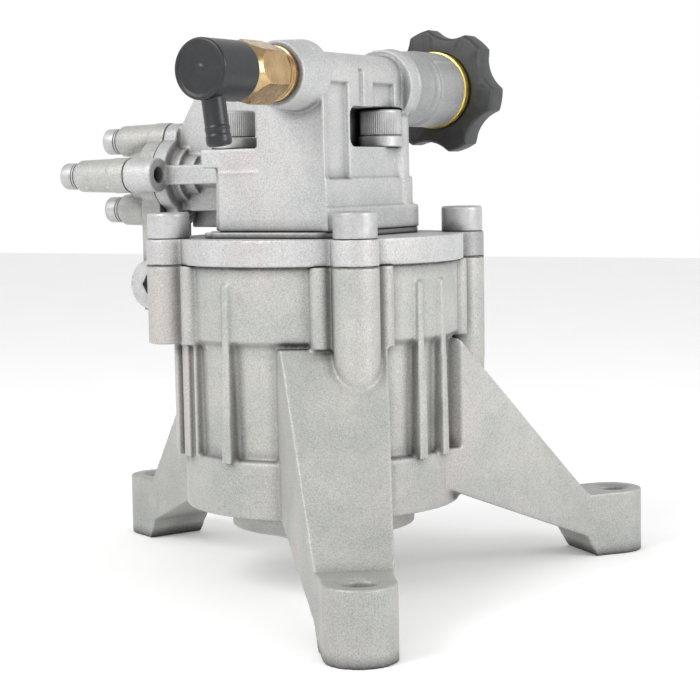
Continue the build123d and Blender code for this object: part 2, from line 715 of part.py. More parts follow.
NEEDLES = 20
NEEDLE_PLANE = tilted(SWASH_TOP_Z + NEEDLE_R / cos(radians(TILT)))

with BuildPart() as thrust_needles:
    for n in range(NEEDLES):
        angle = n * 360 / NEEDLES
        direction = NEEDLE_PLANE.from_local_coords(Vector(*polar(1, angle))) - NEEDLE_PLANE.origin
        start = NEEDLE_PLANE.origin + direction * 13
        with BuildSketch(Plane(origin=start, z_dir=direction)):
            Circle(NEEDLE_R - 0.01)
        extrude(amount=10)
thrust_needles.part.label = "thrust_needles"
export_step(thrust_needles.part, "parts/thrust_needles.step")

with BuildPart() as thrust_race:
    with BuildSketch(tilted(RACE_TOP_Z - RACE_THICKNESS / cos(radians(TILT)))):
        Circle(26)
        Circle(7, mode=Mode.SUBTRACT)
    extrude(amount=RACE_THICKNESS)
thrust_race.part.label = "thrust_race"
export_step(thrust_race.part, "parts/thrust_race.step")

BEARING_MID_Z = BEARING_Z + BEARING_WIDTH / 2
BEARING_MID_R = (BEARING_OUTER_R + BEARING_INNER_R) / 2
BALL_R = 4.2
BALLS = 11
RACE_GAP = 3.1


def bearing_ring(inner_r, outer_r):
    """Bearing ring, less the groove of the balls."""
    with BuildPart() as ring:
        with BuildSketch(Plane.XZ):
            with Locations(((inner_r + outer_r) / 2, BEARING_MID_Z)):
                Rectangle(outer_r - inner_r, BEARING_WIDTH)
            with Locations((BEARING_MID_R, BEARING_MID_Z)):
                Circle(BALL_R + 0.3, mode=Mode.SUBTRACT)
        revolve(axis=Axis.Z)
    return ring.part


with BuildPart() as bearing_outer_race:
    add(bearing_ring(BEARING_MID_R + RACE_GAP, BEARING_OUTER_R))
bearing_outer_race.part.label = "bearing_outer_race"
export_step(bearing_outer_race.part, "parts/bearing_outer_race.step")

with BuildPart() as bearing_inner_race:
    add(bearing_ring(BEARING_INNER_R, BEARING_MID_R - RACE_GAP))
bearing_inner_race.part.label = "bearing_inner_race"
export_step(bearing_inner_race.part, "parts/bearing_inner_race.step")

with BuildPart() as bearing_balls:
    with Locations((0, 0, BEARING_MID_Z)):
        with PolarLocations(BEARING_MID_R, BALLS):
            Sphere(BALL_R)
bearing_balls.part.label = "bearing_balls"
export_step(bearing_balls.part, "parts/bearing_balls.step")

with BuildPart() as bearing_cage:
    with BuildSketch(Plane.XY.offset(BEARING_MID_Z - 3)):
        Circle(BEARING_MID_R + 1.2)
        Circle(BEARING_MID_R - 1.2, mode=Mode.SUBTRACT)
    extrude(amount=6)
    with Locations((0, 0, BEARING_MID_Z)):
        with PolarLocations(BEARING_MID_R, BALLS):
            Sphere(BALL_R + 0.1, mode=Mode.SUBTRACT)
bearing_cage.part.label = "bearing_cage"
export_step(bearing_cage.part, "parts/bearing_cage.step")

with BuildPart() as retaining_ring:
    with BuildSketch(Plane.XY.offset(BEARING_Z + BEARING_WIDTH + 0.05)):
        Circle(BEARING_OUTER_R + 1.3)
        Circle(BEARING_OUTER_R - 2.2, mode=Mode.SUBTRACT)
        with Locations((BEARING_OUTER_R, 0)):
            Rectangle(8, 12, mode=Mode.SUBTRACT)
    extrude(amount=1.4)
retaining_ring.part.label = "retaining_ring"
export_step(retaining_ring.part, "parts/retaining_ring.step")

with BuildPart() as shaft_seal:
    with BuildSketch(Plane.XZ):
        with BuildLine():
            Polyline(
                (16 + RUNNING_FIT, 21),
                (18.5, 19.4),
                (18.5, 18.6),
                (SHAFT_SEAL_R, 18.6),
                (SHAFT_SEAL_R, 25.6),
                (21.8, 25.6),
                (21.8, 20.6),
                (18.6, 20.6),
                (16.8, 22.6),
                (16 + RUNNING_FIT, 21.8),
                close=True,
            )
        make_face()
    revolve(axis=Axis.Z)
shaft_seal.part.label = "shaft_seal"
export_step(shaft_seal.part, "parts/shaft_seal.step")


# --- plungers, return springs and seals ---------------------------------------------------------
def coil(mean_r, wire_r, z0, z1, turns):
    """Helical spring along +Z whose wire stays between z0 and z1."""
    pitch = (z1 - z0 - 2 * wire_r) / turns
    with BuildPart() as spring:
        with BuildLine(Plane.XY.offset(z0 + wire_r)):
            path = Helix(pitch, pitch * turns, mean_r)
        with BuildSketch(Plane(origin=path @ 0, z_dir=path % 0)):
            Circle(wire_r)
        sweep(is_frenet=True)
    return spring.part


FOOT_R = 10
FOOT_THICKNESS = 2.6
SPRING_BOTTOM = PISTON_FOOT_Z + FOOT_THICKNESS + 0.02
PISTON_SPRING = coil(8.7, 0.8, SPRING_BOTTOM, HUB_BOTTOM - 0.05, 5)

for n, point in enumerate(PISTON_POINTS, 1):
    with BuildPart() as piston:
        with BuildSketch(Plane.XY.offset(PISTON_FOOT_Z)):
            with Locations(point):
                Circle(PISTON_R)
        extrude(amount=PISTON_TOP_Z - PISTON_FOOT_Z)
        with BuildSketch(Plane.XY.offset(PISTON_FOOT_Z)):
            with Locations(point):
                Circle(FOOT_R)
        extrude(amount=FOOT_THICKNESS)
    piston.part.label = f"piston_{n}"
    export_step(piston.part, f"parts/piston_{n}.step")

    with BuildPart() as piston_spring:
        add(PISTON_SPRING.moved(Location((*point, 0))))
    piston_spring.part.label = f"piston_spring_{n}"
    export_step(piston_spring.part, f"parts/piston_spring_{n}.step")


def seal_rings(z0, z1, inner_r):
    """One ring in the seal pocket of each plunger."""
    with BuildPart() as rings:
        with BuildSketch(Plane.XY.offset(z0)):
            with Locations(*PISTON_POINTS):
                Circle(SEAL_POCKET_R)
                Circle(inner_r, mode=Mode.SUBTRACT)
        extrude(amount=z1 - z0)
    return rings.part


with BuildPart() as oil_seals:
    add(seal_rings(SEAL_POCKET_Z, 96, PISTON_R + RUNNING_FIT))
oil_seals.part.label = "oil_seals"
export_step(oil_seals.part, "parts/oil_seals.step")

with BuildPart() as seal_spacers:
    add(seal_rings(96, 99.5, PISTON_R + 0.4))
seal_spacers.part.label = "seal_spacers"
export_step(seal_spacers.part, "parts/seal_spacers.step")

with BuildPart() as water_seals:
    add(seal_rings(99.5, FLANGE_TOP, PISTON_R + RUNNING_FIT))
water_seals.part.label = "water_seals"
export_step(water_seals.part, "parts/water_seals.step")

# --- check valves -------------------------------------------------------------------------------
VALVE_MID_Z = (VALVE_Z0 + VALVE_Z1) / 2
SEAT_H = 2
POPPET_R = 3.1
POPPET_H = 1.2
CAGE_BORE_R = 3.7

with BuildPart() as valve_cage:
    with BuildSketch(Plane.XY.offset(VALVE_Z0)):
        Circle(VALVE_CAGE_R)
    extrude(amount=VALVE_Z1 - VALVE_Z0)
    with BuildSketch(Plane.XY.offset(VALVE_Z0 + SEAT_H)):
        Circle(CAGE_BORE_R)
    extrude(amount=VALVE_Z1 - VALVE_Z0 - SEAT_H - 1.2, mode=Mode.SUBTRACT)
    with BuildSketch(Plane.XY.offset(VALVE_Z0 - 1)):
        Circle(2.1)
    extrude(amount=20, mode=Mode.SUBTRACT)

with BuildPart() as valve_poppet:
    with BuildSketch(Plane.XY.offset(VALVE_Z0 + SEAT_H + 0.05)):
        Circle(POPPET_R)
    extrude(amount=POPPET_H)
    with BuildSketch(Plane.XY.offset(VALVE_Z0 + SEAT_H + POPPET_H)):
        Circle(1.3)
    extrude(amount=2.4)

VALVE_SPRING = coil(2.5, 0.3, VALVE_Z0 + SEAT_H + POPPET_H + 0.07, VALVE_Z1 - 1.25, 4)
FLIP = Plane.XY.offset(VALVE_MID_Z)
VALVES = (("outlet", OUTLET_POINTS, False), ("inlet", INLET_POINTS, True))

for kind, points, flipped in VALVES:
    cage = valve_cage.part.mirror(FLIP) if flipped else valve_cage.part
    poppet = valve_poppet.part.mirror(FLIP) if flipped else valve_poppet.part
    spring = VALVE_SPRING.mirror(FLIP) if flipped else VALVE_SPRING
    with BuildPart() as cages:
        for point in points:
            add(cage.moved(Location((*point, 0))))
    cages.part.label = f"{kind}_valve_cages"
    export_step(cages.part, f"parts/{kind}_valve_cages.step")
    for n, point in enumerate(points, 1):
        with BuildPart() as valve_disc:
            add(poppet.moved(Location((*point, 0))))
        valve_disc.part.label = f"{kind}_poppet_{n}"
        export_step(valve_disc.part, f"parts/{kind}_poppet_{n}.step")
        with BuildPart() as valve_spring:
            add(spring.moved(Location((*point, 0))))
        valve_spring.part.label = f"{kind}_valve_spring_{n}"
        export_step(valve_spring.part, f"parts/{kind}_valve_spring_{n}.step")

# --- thermal relief valve -----------------------------------------------------------------------
HEX_AF = 16
HEX_TURN = 22
SPIGOT_R = 5.3
CAP_R = 8.35
CAP_OPEN_Y = HEX_END_Y - 0.3
TAIL_END_Y = -72
BARB_Y = -73.4
BARB_TURN = 7.8
BARB_R = 3.3


def relief_plane(y):
    """Sketch plane across the relief valve, normal to -Y."""
    return Plane(origin=(PORT_X, y, RELIEF_Z), x_dir=(1, 0, 0), z_dir=(0, -1, 0))


with BuildPart() as relief_valve_body:
    with BuildSketch(relief_plane(RELIEF_FACE_Y - 1.6)):
        RegularPolygon(HEX_AF / 2, 6, major_radius=False, rotation=30 + HEX_TURN)
    extrude(amount=RELIEF_FACE_Y - 1.6 - HEX_END_Y)
    with BuildSketch(relief_plane(RELIEF_FACE_Y)):
        Circle(8)
    extrude(amount=1.6)
    # the corners of the hexagon are turned off at both ends
    with BuildSketch(Plane(origin=(PORT_X, 0, RELIEF_Z), x_dir=(0, 1, 0), z_dir=(-1, 0, 0))):
        with BuildLine():
            Polyline(
                (RELIEF_FACE_Y + 2, 0),
                (RELIEF_FACE_Y + 2, 7.6),
                (RELIEF_FACE_Y - 2.6, 9),
                (HEX_END_Y + 1.6, 9),
                (HEX_END_Y, 8.2),
                (HEX_END_Y, 0),
                close=True,
            )
        make_face()
    revolve(axis=Axis((PORT_X, 0, RELIEF_Z), (0, 1, 0)), mode=Mode.INTERSECT)
    with BuildSketch(relief_plane(RELIEF_FACE_Y)):
        Circle(SPIGOT_R)
    extrude(amount=-14)
    with BuildSketch(relief_plane(HEX_END_Y)):
        Circle(5)
    extrude(amount=HEX_END_Y - TAIL_END_Y)
    # bore for the plunger and its spring, and the discharge hole
    with BuildSketch(relief_plane(RELIEF_FACE_Y + 15)):
        Circle(1.6)
    extrude(amount=50, mode=Mode.SUBTRACT)
    with BuildSketch(relief_plane(RELIEF_FACE_Y - 2)):
        Circle(3.6)
    extrude(amount=26, mode=Mode.SUBTRACT)
relief_valve_body.part.label = "relief_valve_body"
export_step(relief_valve_body.part, "parts/relief_valve_body.step")

RELIEF_SEAT_Y = RELIEF_FACE_Y - 2
RELIEF_STOP_Y = RELIEF_SEAT_Y - 26

with BuildPart() as relief_plunger:
    with BuildSketch(relief_plane(RELIEF_SEAT_Y - 0.05)):
        Circle(3.5)
    extrude(amount=4)
    with BuildSketch(relief_plane(RELIEF_SEAT_Y - 4.05)):
        Circle(1.8)
    extrude(amount=3)
relief_plunger.part.label = "relief_plunger"
export_step(relief_plunger.part, "parts/relief_plunger.step")

with BuildPart() as relief_spring:
    # wound along +Z, then laid along -Y between the plunger shoulder and the end of the bore
    RELIEF_COIL = coil(2.8, 0.4, 0, RELIEF_SEAT_Y - 4.1 - RELIEF_STOP_Y - 0.1, 9)
    add(RELIEF_COIL.moved(Location((PORT_X, RELIEF_SEAT_Y - 4.1, RELIEF_Z), (90, 0, 0))))
relief_spring.part.label = "relief_spring"
export_step(relief_spring.part, "parts/relief_spring.step")

BARB_DIRECTION = Vector(sin(radians(BARB_TURN)), 0, -cos(radians(BARB_TURN)))
BARB_ROOT = Vector(PORT_X, BARB_Y, RELIEF_Z)

with BuildPart() as relief_cap:
    with BuildSketch(relief_plane(CAP_OPEN_Y)):
        Circle(CAP_R)
    extrude(amount=CAP_OPEN_Y - CAP_END_Y)
    fillet(relief_cap.faces().sort_by(Axis.Y)[0].edges(), 0.6)
    # hose barb with two rings, open down its middle
    for reach, length, radius, taper in ((0, 20.6, BARB_R, 0), (15.6, 0.9, 3.5, 2), (17.9, 2.3, 3.5, 2)):
        with BuildSketch(Plane(origin=BARB_ROOT + BARB_DIRECTION * reach, z_dir=BARB_DIRECTION)):
            Circle(radius)
        extrude(amount=length, taper=taper)
    with BuildSketch(relief_plane(CAP_OPEN_Y + 1)):
        Circle(5.35)
    extrude(amount=CAP_OPEN_Y + 1 - (CAP_END_Y + 2.2), mode=Mode.SUBTRACT)
    with BuildSketch(Plane(origin=BARB_ROOT, z_dir=BARB_DIRECTION)):
        Circle(1.8)
    extrude(amount=30, mode=Mode.SUBTRACT)
relief_cap.part.label = "relief_cap"
export_step(relief_cap.part, "parts/relief_cap.step")

# --- unloader and its knob ----------------------------------------------------------------------
SEAT_END_Y = 10
O_RING_Y = 5.8
PLUNGER_Y0, PLUNGER_Y1 = 10.3, 20
PUSHER_Y0, PUSHER_Y1 = 38, 56
KNOB_SCREW_R = 5

with BuildPart() as unloader_seat:
    with BuildSketch(plane_y(SEAT_BORE_Y)):
        Circle(SEAT_BORE_R - RUNNING_FIT)
        Circle(2.6, mode=Mode.SUBTRACT)
    extrude(amount=SEAT_END_Y - SEAT_BORE_Y)
    with BuildSketch(plane_y(O_RING_Y - 1.3)):
        Circle(SEAT_BORE_R + 1)
        Circle(SEAT_BORE_R - 1.6, mode=Mode.SUBTRACT)
    extrude(amount=2.6, mode=Mode.SUBTRACT)
unloader_seat.part.label = "unloader_seat"
export_step(unloader_seat.part, "parts/unloader_seat.step")

with BuildPart() as unloader_o_ring:
    with BuildSketch(Plane(origin=(PORT_X, O_RING_Y, BARREL_Z), x_dir=(1, 0, 0), z_dir=(0, 0, 1))):
        with Locations((SEAT_BORE_R - 0.8, 0)):
            Rectangle(1.4, 2)
    revolve(axis=Axis((PORT_X, O_RING_Y, BARREL_Z), (0, 1, 0)))
unloader_o_ring.part.label = "unloader_o_ring"
export_step(unloader_o_ring.part, "parts/unloader_o_ring.step")

with BuildPart() as unloader_plunger:
    with BuildSketch(plane_y(PLUNGER_Y0)):
        Circle(SEAT_BORE_R - RUNNING_FIT)
    extrude(amount=4)
    with BuildSketch(plane_y(PLUNGER_Y0)):
        Circle(3.2)
    extrude(amount=PLUNGER_Y1 - PLUNGER_Y0)
unloader_plunger.part.label = "unloader_plunger"
export_step(unloader_plunger.part, "parts/unloader_plunger.step")

with BuildPart() as unloader_spring:
    UNLOADER_COIL = coil(4.4, 0.9, 0, PUSHER_Y0 - PLUNGER_Y0 - 4.1, 7)
    add(UNLOADER_COIL.moved(Location((PORT_X, PLUNGER_Y0 + 4.05, BARREL_Z), (-90, 0, 0))))
unloader_spring.part.label = "unloader_spring"
export_step(unloader_spring.part, "parts/unloader_spring.step")

with BuildPart() as unloader_pusher:
    with BuildSketch(plane_y(PUSHER_Y0)):
        Circle(BARREL_BORE_R - RUNNING_FIT)
    extrude(amount=3)
    with BuildSketch(plane_y(PUSHER_Y0)):
        Circle(KNOB_SCREW_R)
    extrude(amount=PUSHER_Y1 - PUSHER_Y0)
unloader_pusher.part.label = "unloader_pusher"
export_step(unloader_pusher.part, "parts/unloader_pusher.step")

with BuildPart() as unloader_lock_ring:
    with BuildSketch(plane_y(BARREL_END_Y)):
        Circle(11.8)
        Circle(KNOB_SCREW_R + 0.3, mode=Mode.SUBTRACT)
    extrude(amount=RING_END_Y - BARREL_END_Y)
    with BuildSketch(plane_y(BARREL_END_Y)):
        Circle(BARREL_BORE_R - RUNNING_FIT)
        Circle(KNOB_SCREW_R + 0.3, mode=Mode.SUBTRACT)
    extrude(amount=-4)
unloader_lock_ring.part.label = "unloader_lock_ring"
export_step(unloader_lock_ring.part, "parts/unloader_lock_ring.step")

KNOB_TIP_R = 20.2
KNOB_VALLEY_R = 17
KNOB_LOBES = 6
KNOB_PHASE = 10
SCALLOP_R = 12

with BuildPart() as unloader_knob:
    with BuildSketch(plane_y(KNOB_BACK_Y)):
        Circle(KNOB_TIP_R)
        with PolarLocations(KNOB_VALLEY_R + SCALLOP_R, KNOB_LOBES, start_angle=KNOB_PHASE + 180 / KNOB_LOBES):
            Circle(SCALLOP_R, mode=Mode.SUBTRACT)
    extrude(amount=KNOB_FRONT_Y - KNOB_BACK_Y)
    chamfer(unloader_knob.faces().sort_by(Axis.Y)[-1].edges(), 1.2)
    with BuildSketch(plane_y(KNOB_BACK_Y - 1)):
        Circle(KNOB_SCREW_R + RUNNING_FIT)
    extrude(amount=PUSHER_Y1 - KNOB_BACK_Y + 1.3, mode=Mode.SUBTRACT)
unloader_knob.part.label = "unloader_knob"
export_step(unloader_knob.part, "parts/unloader_knob.step")

# --- water connections --------------------------------------------------------------------------
with BuildPart() as water_inlet_fitting:
    INLET_X = PLUG_X
    for y0, y1, radius in ((INLET_FACE_Y - 12, INLET_FACE_Y, 5.95), (INLET_FACE_Y, INLET_FACE_Y + 9, 9.5),
                           (INLET_FACE_Y + 9, INLET_FACE_Y + 24, 15.5)):
        with BuildSketch(plane_y(y0, INLET_X, PLUG_Z)):
            Circle(radius)
        extrude(amount=y1 - y0)
    # hose thread, then the pocket of the strainer, then the water passage
    for radius, depth in ((13.3, 13), (7.5, 22.5), (4, 50)):
        with BuildSketch(plane_y(INLET_FACE_Y + 25, INLET_X, PLUG_Z)):
            Circle(radius)
        extrude(amount=-depth, mode=Mode.SUBTRACT)
water_inlet_fitting.part.label = "water_inlet_fitting"
export_step(water_inlet_fitting.part, "parts/water_inlet_fitting.step")

with BuildPart() as inlet_strainer:
    # rim against the wall of the pocket, and a cup with slots below it
    with BuildSketch(plane_y(INLET_FACE_Y + 11.8, INLET_X, PLUG_Z)):
        Circle(7.45)
    extrude(amount=-1.4)
    with BuildSketch(plane_y(INLET_FACE_Y + 10.6, INLET_X, PLUG_Z)):
        Circle(5.8)
    extrude(amount=-7)
    with BuildSketch(plane_y(INLET_FACE_Y + 12, INLET_X, PLUG_Z)):
        Circle(4.9)
    extrude(amount=-7.6, mode=Mode.SUBTRACT)
    with BuildSketch(plane_y(INLET_FACE_Y + 9.6, INLET_X, PLUG_Z)):
        with PolarLocations(5.4, 8):
            Rectangle(2.4, 1.4)
    extrude(amount=-4, mode=Mode.SUBTRACT)
inlet_strainer.part.label = "inlet_strainer"
export_step(inlet_strainer.part, "parts/inlet_strainer.step")

with BuildPart() as outlet_fitting:
    for y0, y1, radius in (
        (OUTLET_FACE_Y - 7, OUTLET_FACE_Y, 7.95),
        (OUTLET_FACE_Y + 5, OUTLET_FACE_Y + 19, 10.9),
    ):
        with BuildSketch(plane_y(y0, OUTLET_X, OUTLET_Z)):
            Circle(radius)
        extrude(amount=y1 - y0)
    with BuildSketch(plane_y(OUTLET_FACE_Y, OUTLET_X, OUTLET_Z)):
        RegularPolygon(11, 6, major_radius=False)
    extrude(amount=5)
    with BuildSketch(plane_y(OUTLET_FACE_Y + 20, OUTLET_X, OUTLET_Z)):
        Circle(4.5)
    extrude(amount=-40, mode=Mode.SUBTRACT)
outlet_fitting.part.label = "outlet_fitting"
export_step(outlet_fitting.part, "parts/outlet_fitting.step")
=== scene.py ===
"""Looks of a vertical-shaft axial pump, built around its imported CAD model.

Everything is in metres in the frame of the CAD. Lengths in the code are written in millimetres times MM.
"""
import json
import math

import bmesh
import bpy
from mathutils import Matrix, Vector


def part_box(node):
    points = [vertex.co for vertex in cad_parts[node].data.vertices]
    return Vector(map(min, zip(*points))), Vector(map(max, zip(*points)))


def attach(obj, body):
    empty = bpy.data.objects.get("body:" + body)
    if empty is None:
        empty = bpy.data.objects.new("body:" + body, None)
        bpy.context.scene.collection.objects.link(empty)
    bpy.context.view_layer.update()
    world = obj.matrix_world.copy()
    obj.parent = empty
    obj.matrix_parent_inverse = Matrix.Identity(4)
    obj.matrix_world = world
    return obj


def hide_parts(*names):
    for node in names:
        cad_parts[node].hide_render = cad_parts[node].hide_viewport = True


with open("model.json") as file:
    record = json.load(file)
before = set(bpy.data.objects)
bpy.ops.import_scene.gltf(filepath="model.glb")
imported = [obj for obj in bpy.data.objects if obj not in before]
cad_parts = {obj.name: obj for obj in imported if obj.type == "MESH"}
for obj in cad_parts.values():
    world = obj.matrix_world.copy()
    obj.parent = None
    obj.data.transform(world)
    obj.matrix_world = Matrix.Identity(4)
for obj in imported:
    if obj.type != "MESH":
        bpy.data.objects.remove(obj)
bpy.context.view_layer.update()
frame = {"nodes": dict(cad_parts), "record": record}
MM = 0.001
SCENE = bpy.context.scene


# --- materials ----------------------------------------------------------------------------------
class Finish:
    """A procedural material under construction. Its patterns are laid out in millimetres."""

    def __init__(self, name, metallic, roughness, **sockets):
        self.material = bpy.data.materials.new(name)
        self.material.use_nodes = True
        self.tree = self.material.node_tree
        self.shader = self.tree.nodes["Principled BSDF"]
        self.shader.inputs["Metallic"].default_value = metallic
        self.shader.inputs["Roughness"].default_value = roughness
        for socket, value in sockets.items():
            self.shader.inputs[socket.replace("_", " ")].default_value = value
        place = self.tree.nodes.new("ShaderNodeTexCoord")
        self.position = self.node("ShaderNodeVectorMath", {0: place.outputs["Object"]}, operation="SCALE")
        self.position.inputs["Scale"].default_value = 1 / MM
        self.heights = []

    def node(self, kind, inputs=None, **settings):
        made = self.tree.nodes.new(kind)
        for key, value in settings.items():
            setattr(made, key, value)
        for key, value in (inputs or {}).items():
            self.put(made.inputs[key], value)
        return made

    def put(self, socket, value):
        if isinstance(value, bpy.types.NodeSocket):
            self.tree.links.new(value, socket)
        elif isinstance(value, bpy.types.Node):
            self.tree.links.new(value.outputs[0], socket)
        else:
            socket.default_value = value

    def noise(self, size, detail=3.0, rough=0.5, stretch=None):
        """Smooth noise whose grains are about size millimetres across."""
        where = self.position
        if stretch:
            where = self.node("ShaderNodeVectorMath", {0: self.position, 1: stretch}, operation="MULTIPLY")
        made = self.node("ShaderNodeTexNoise", {"Vector": where.outputs[0], "Scale": 1 / size,
                                                "Detail": detail, "Roughness": rough})
        return made.outputs["Fac"]

    def pits(self, size, reach):
        """White with black spots: small pits about size millimetres apart."""
        cell = self.node("ShaderNodeTexVoronoi", {"Vector": self.position.outputs[0], "Scale": 1 / size})
        return self.ramp(cell.outputs["Distance"], ((0.0, 0.0), (reach, 1.0)))

    def ramp(self, factor, stops):
        """Maps a factor through stops of (position, grey or colour)."""
        made = self.node("ShaderNodeValToRGB", {"Fac": factor})
        points = made.color_ramp.elements
        while len(points) < len(stops):
            points.new(0.5)
        for point, (position, tone) in zip(points, stops):
            point.position = position
            point.color = (*tone, 1) if isinstance(tone, tuple) else (tone, tone, tone, 1)
        return made.outputs["Color"]

    def blend(self, factor, first, second, kind="MIX"):
        made = self.node("ShaderNodeMix", data_type="RGBA", blend_type=kind)
        self.put(made.inputs["Factor"], factor)
        for key, value in (("A", first), ("B", second)):
            socket = [s for s in made.inputs if s.name == key and s.type == "RGBA"][0]
            self.put(socket, (*value, 1) if isinstance(value, tuple) else value)
        return [s for s in made.outputs if s.type == "RGBA"][0]

    def edges(self, low=0.5, high=0.56):
        """White on convex edges of a dense mesh."""
        return self.ramp(self.node("ShaderNodeNewGeometry").outputs["Pointiness"], ((low, 0.0), (high, 1.0)))

    def crevice_shade_mask(self, low=0.4, high=0.49):
        """White in concave corners of a dense mesh: where painted shade goes."""
        return self.ramp(self.node("ShaderNodeNewGeometry").outputs["Pointiness"], ((low, 1.0), (high, 0.0)))

    def painted_recess_shade(self, reach, power):
        """Painted shade: dark where nearby walls close a place in, within reach millimetres."""
        shut = self.node("ShaderNodeAmbientOcclusion", {"Distance": reach * MM}, samples=6)
        return self.node("ShaderNodeMath", {0: shut.outputs["AO"], 1: power}, operation="POWER").outputs[0]

    def bump(self, height, depth, strength=1.0):
        """Adds relief of depth millimetres."""
        made = self.node("ShaderNodeBump", {"Height": height, "Distance": depth * MM, "Strength": strength})
        if self.heights:
            self.put(made.inputs["Normal"], self.heights[-1].outputs["Normal"])
        self.heights.append(made)

    def done(self, colour, roughness=None):
        self.put(self.shader.inputs["Base Color"], colour)
        if roughness is not None:
            self.put(self.shader.inputs["Roughness"], roughness)
        if self.heights:
            self.put(self.shader.inputs["Normal"], self.heights[-1].outputs["Normal"])
        return self.material


def cast_aluminium(name, warm, cool, shade, fade):
    """Shot-blasted die casting: two tones in soft clouds, fine grain, pits and bright worn edges, with
    painted shade in crevices and closed-in places.

    The tone changes along an axis, as fade says: axis, start and end in mm, and factor past the end. On the
    casing this is painted shade, darker towards the bottom.
    """
    f = Finish(name, 0.42, 0.5)
    clouds = f.ramp(f.noise(16, 3, 0.6), ((0.38, cool), (0.62, warm)))
    rosy = f.ramp(f.noise(23, 2, 0.5, (1.0, 1.0, 0.35)), ((0.54, 0.0), (0.7, 0.5)))
    colour = f.blend(rosy, clouds, (0.49, 0.44, 0.43))
    grain = f.noise(0.42, 4, 0.7)
    colour = f.blend(0.42, colour, f.ramp(grain, ((0.3, 0.16), (0.7, 0.86))), "OVERLAY")
    stains = f.ramp(f.noise(3.2, 5, 0.75), ((0.3, 0.72), (0.47, 1.0)))
    colour = f.blend(0.35, colour, stains, "MULTIPLY")
    pits = f.pits(2.6, 0.1)
    colour = f.blend(0.5, colour, pits, "MULTIPLY")
    # painted shade: concave corners blended towards the dark shade colour
    colour = f.blend(f.crevice_shade_mask(), colour, shade)
    colour = f.blend(f.edges(0.52, 0.62), colour, (0.62, 0.62, 0.61))
    # painted shade in closed-in places
    colour = f.blend(1.0, colour, f.painted_recess_shade(4, 1.8), "MULTIPLY")
    # on the casing: painted shade, darker towards the bottom; on the head: the barrel darker past its start
    axis, start, end, factor = fade
    along = f.node("ShaderNodeSeparateXYZ", {"Vector": f.position.outputs[0]}).outputs[axis]
    reach = f.node("ShaderNodeMapRange", {"Value": along, "From Min": start, "From Max": end})
    colour = f.blend(1.0, colour, f.ramp(reach.outputs["Result"], ((0.0, 1.0), (1.0, factor))), "MULTIPLY")
    f.bump(f.noise(5.5, 2, 0.5), 0.22, 0.5)
    f.bump(grain, 0.07, 0.75)
    f.bump(pits, 0.12, 0.6)
    return f.done(colour, f.ramp(f.noise(0.9, 3, 0.6), ((0.3, 0.42), (0.75, 0.6))))


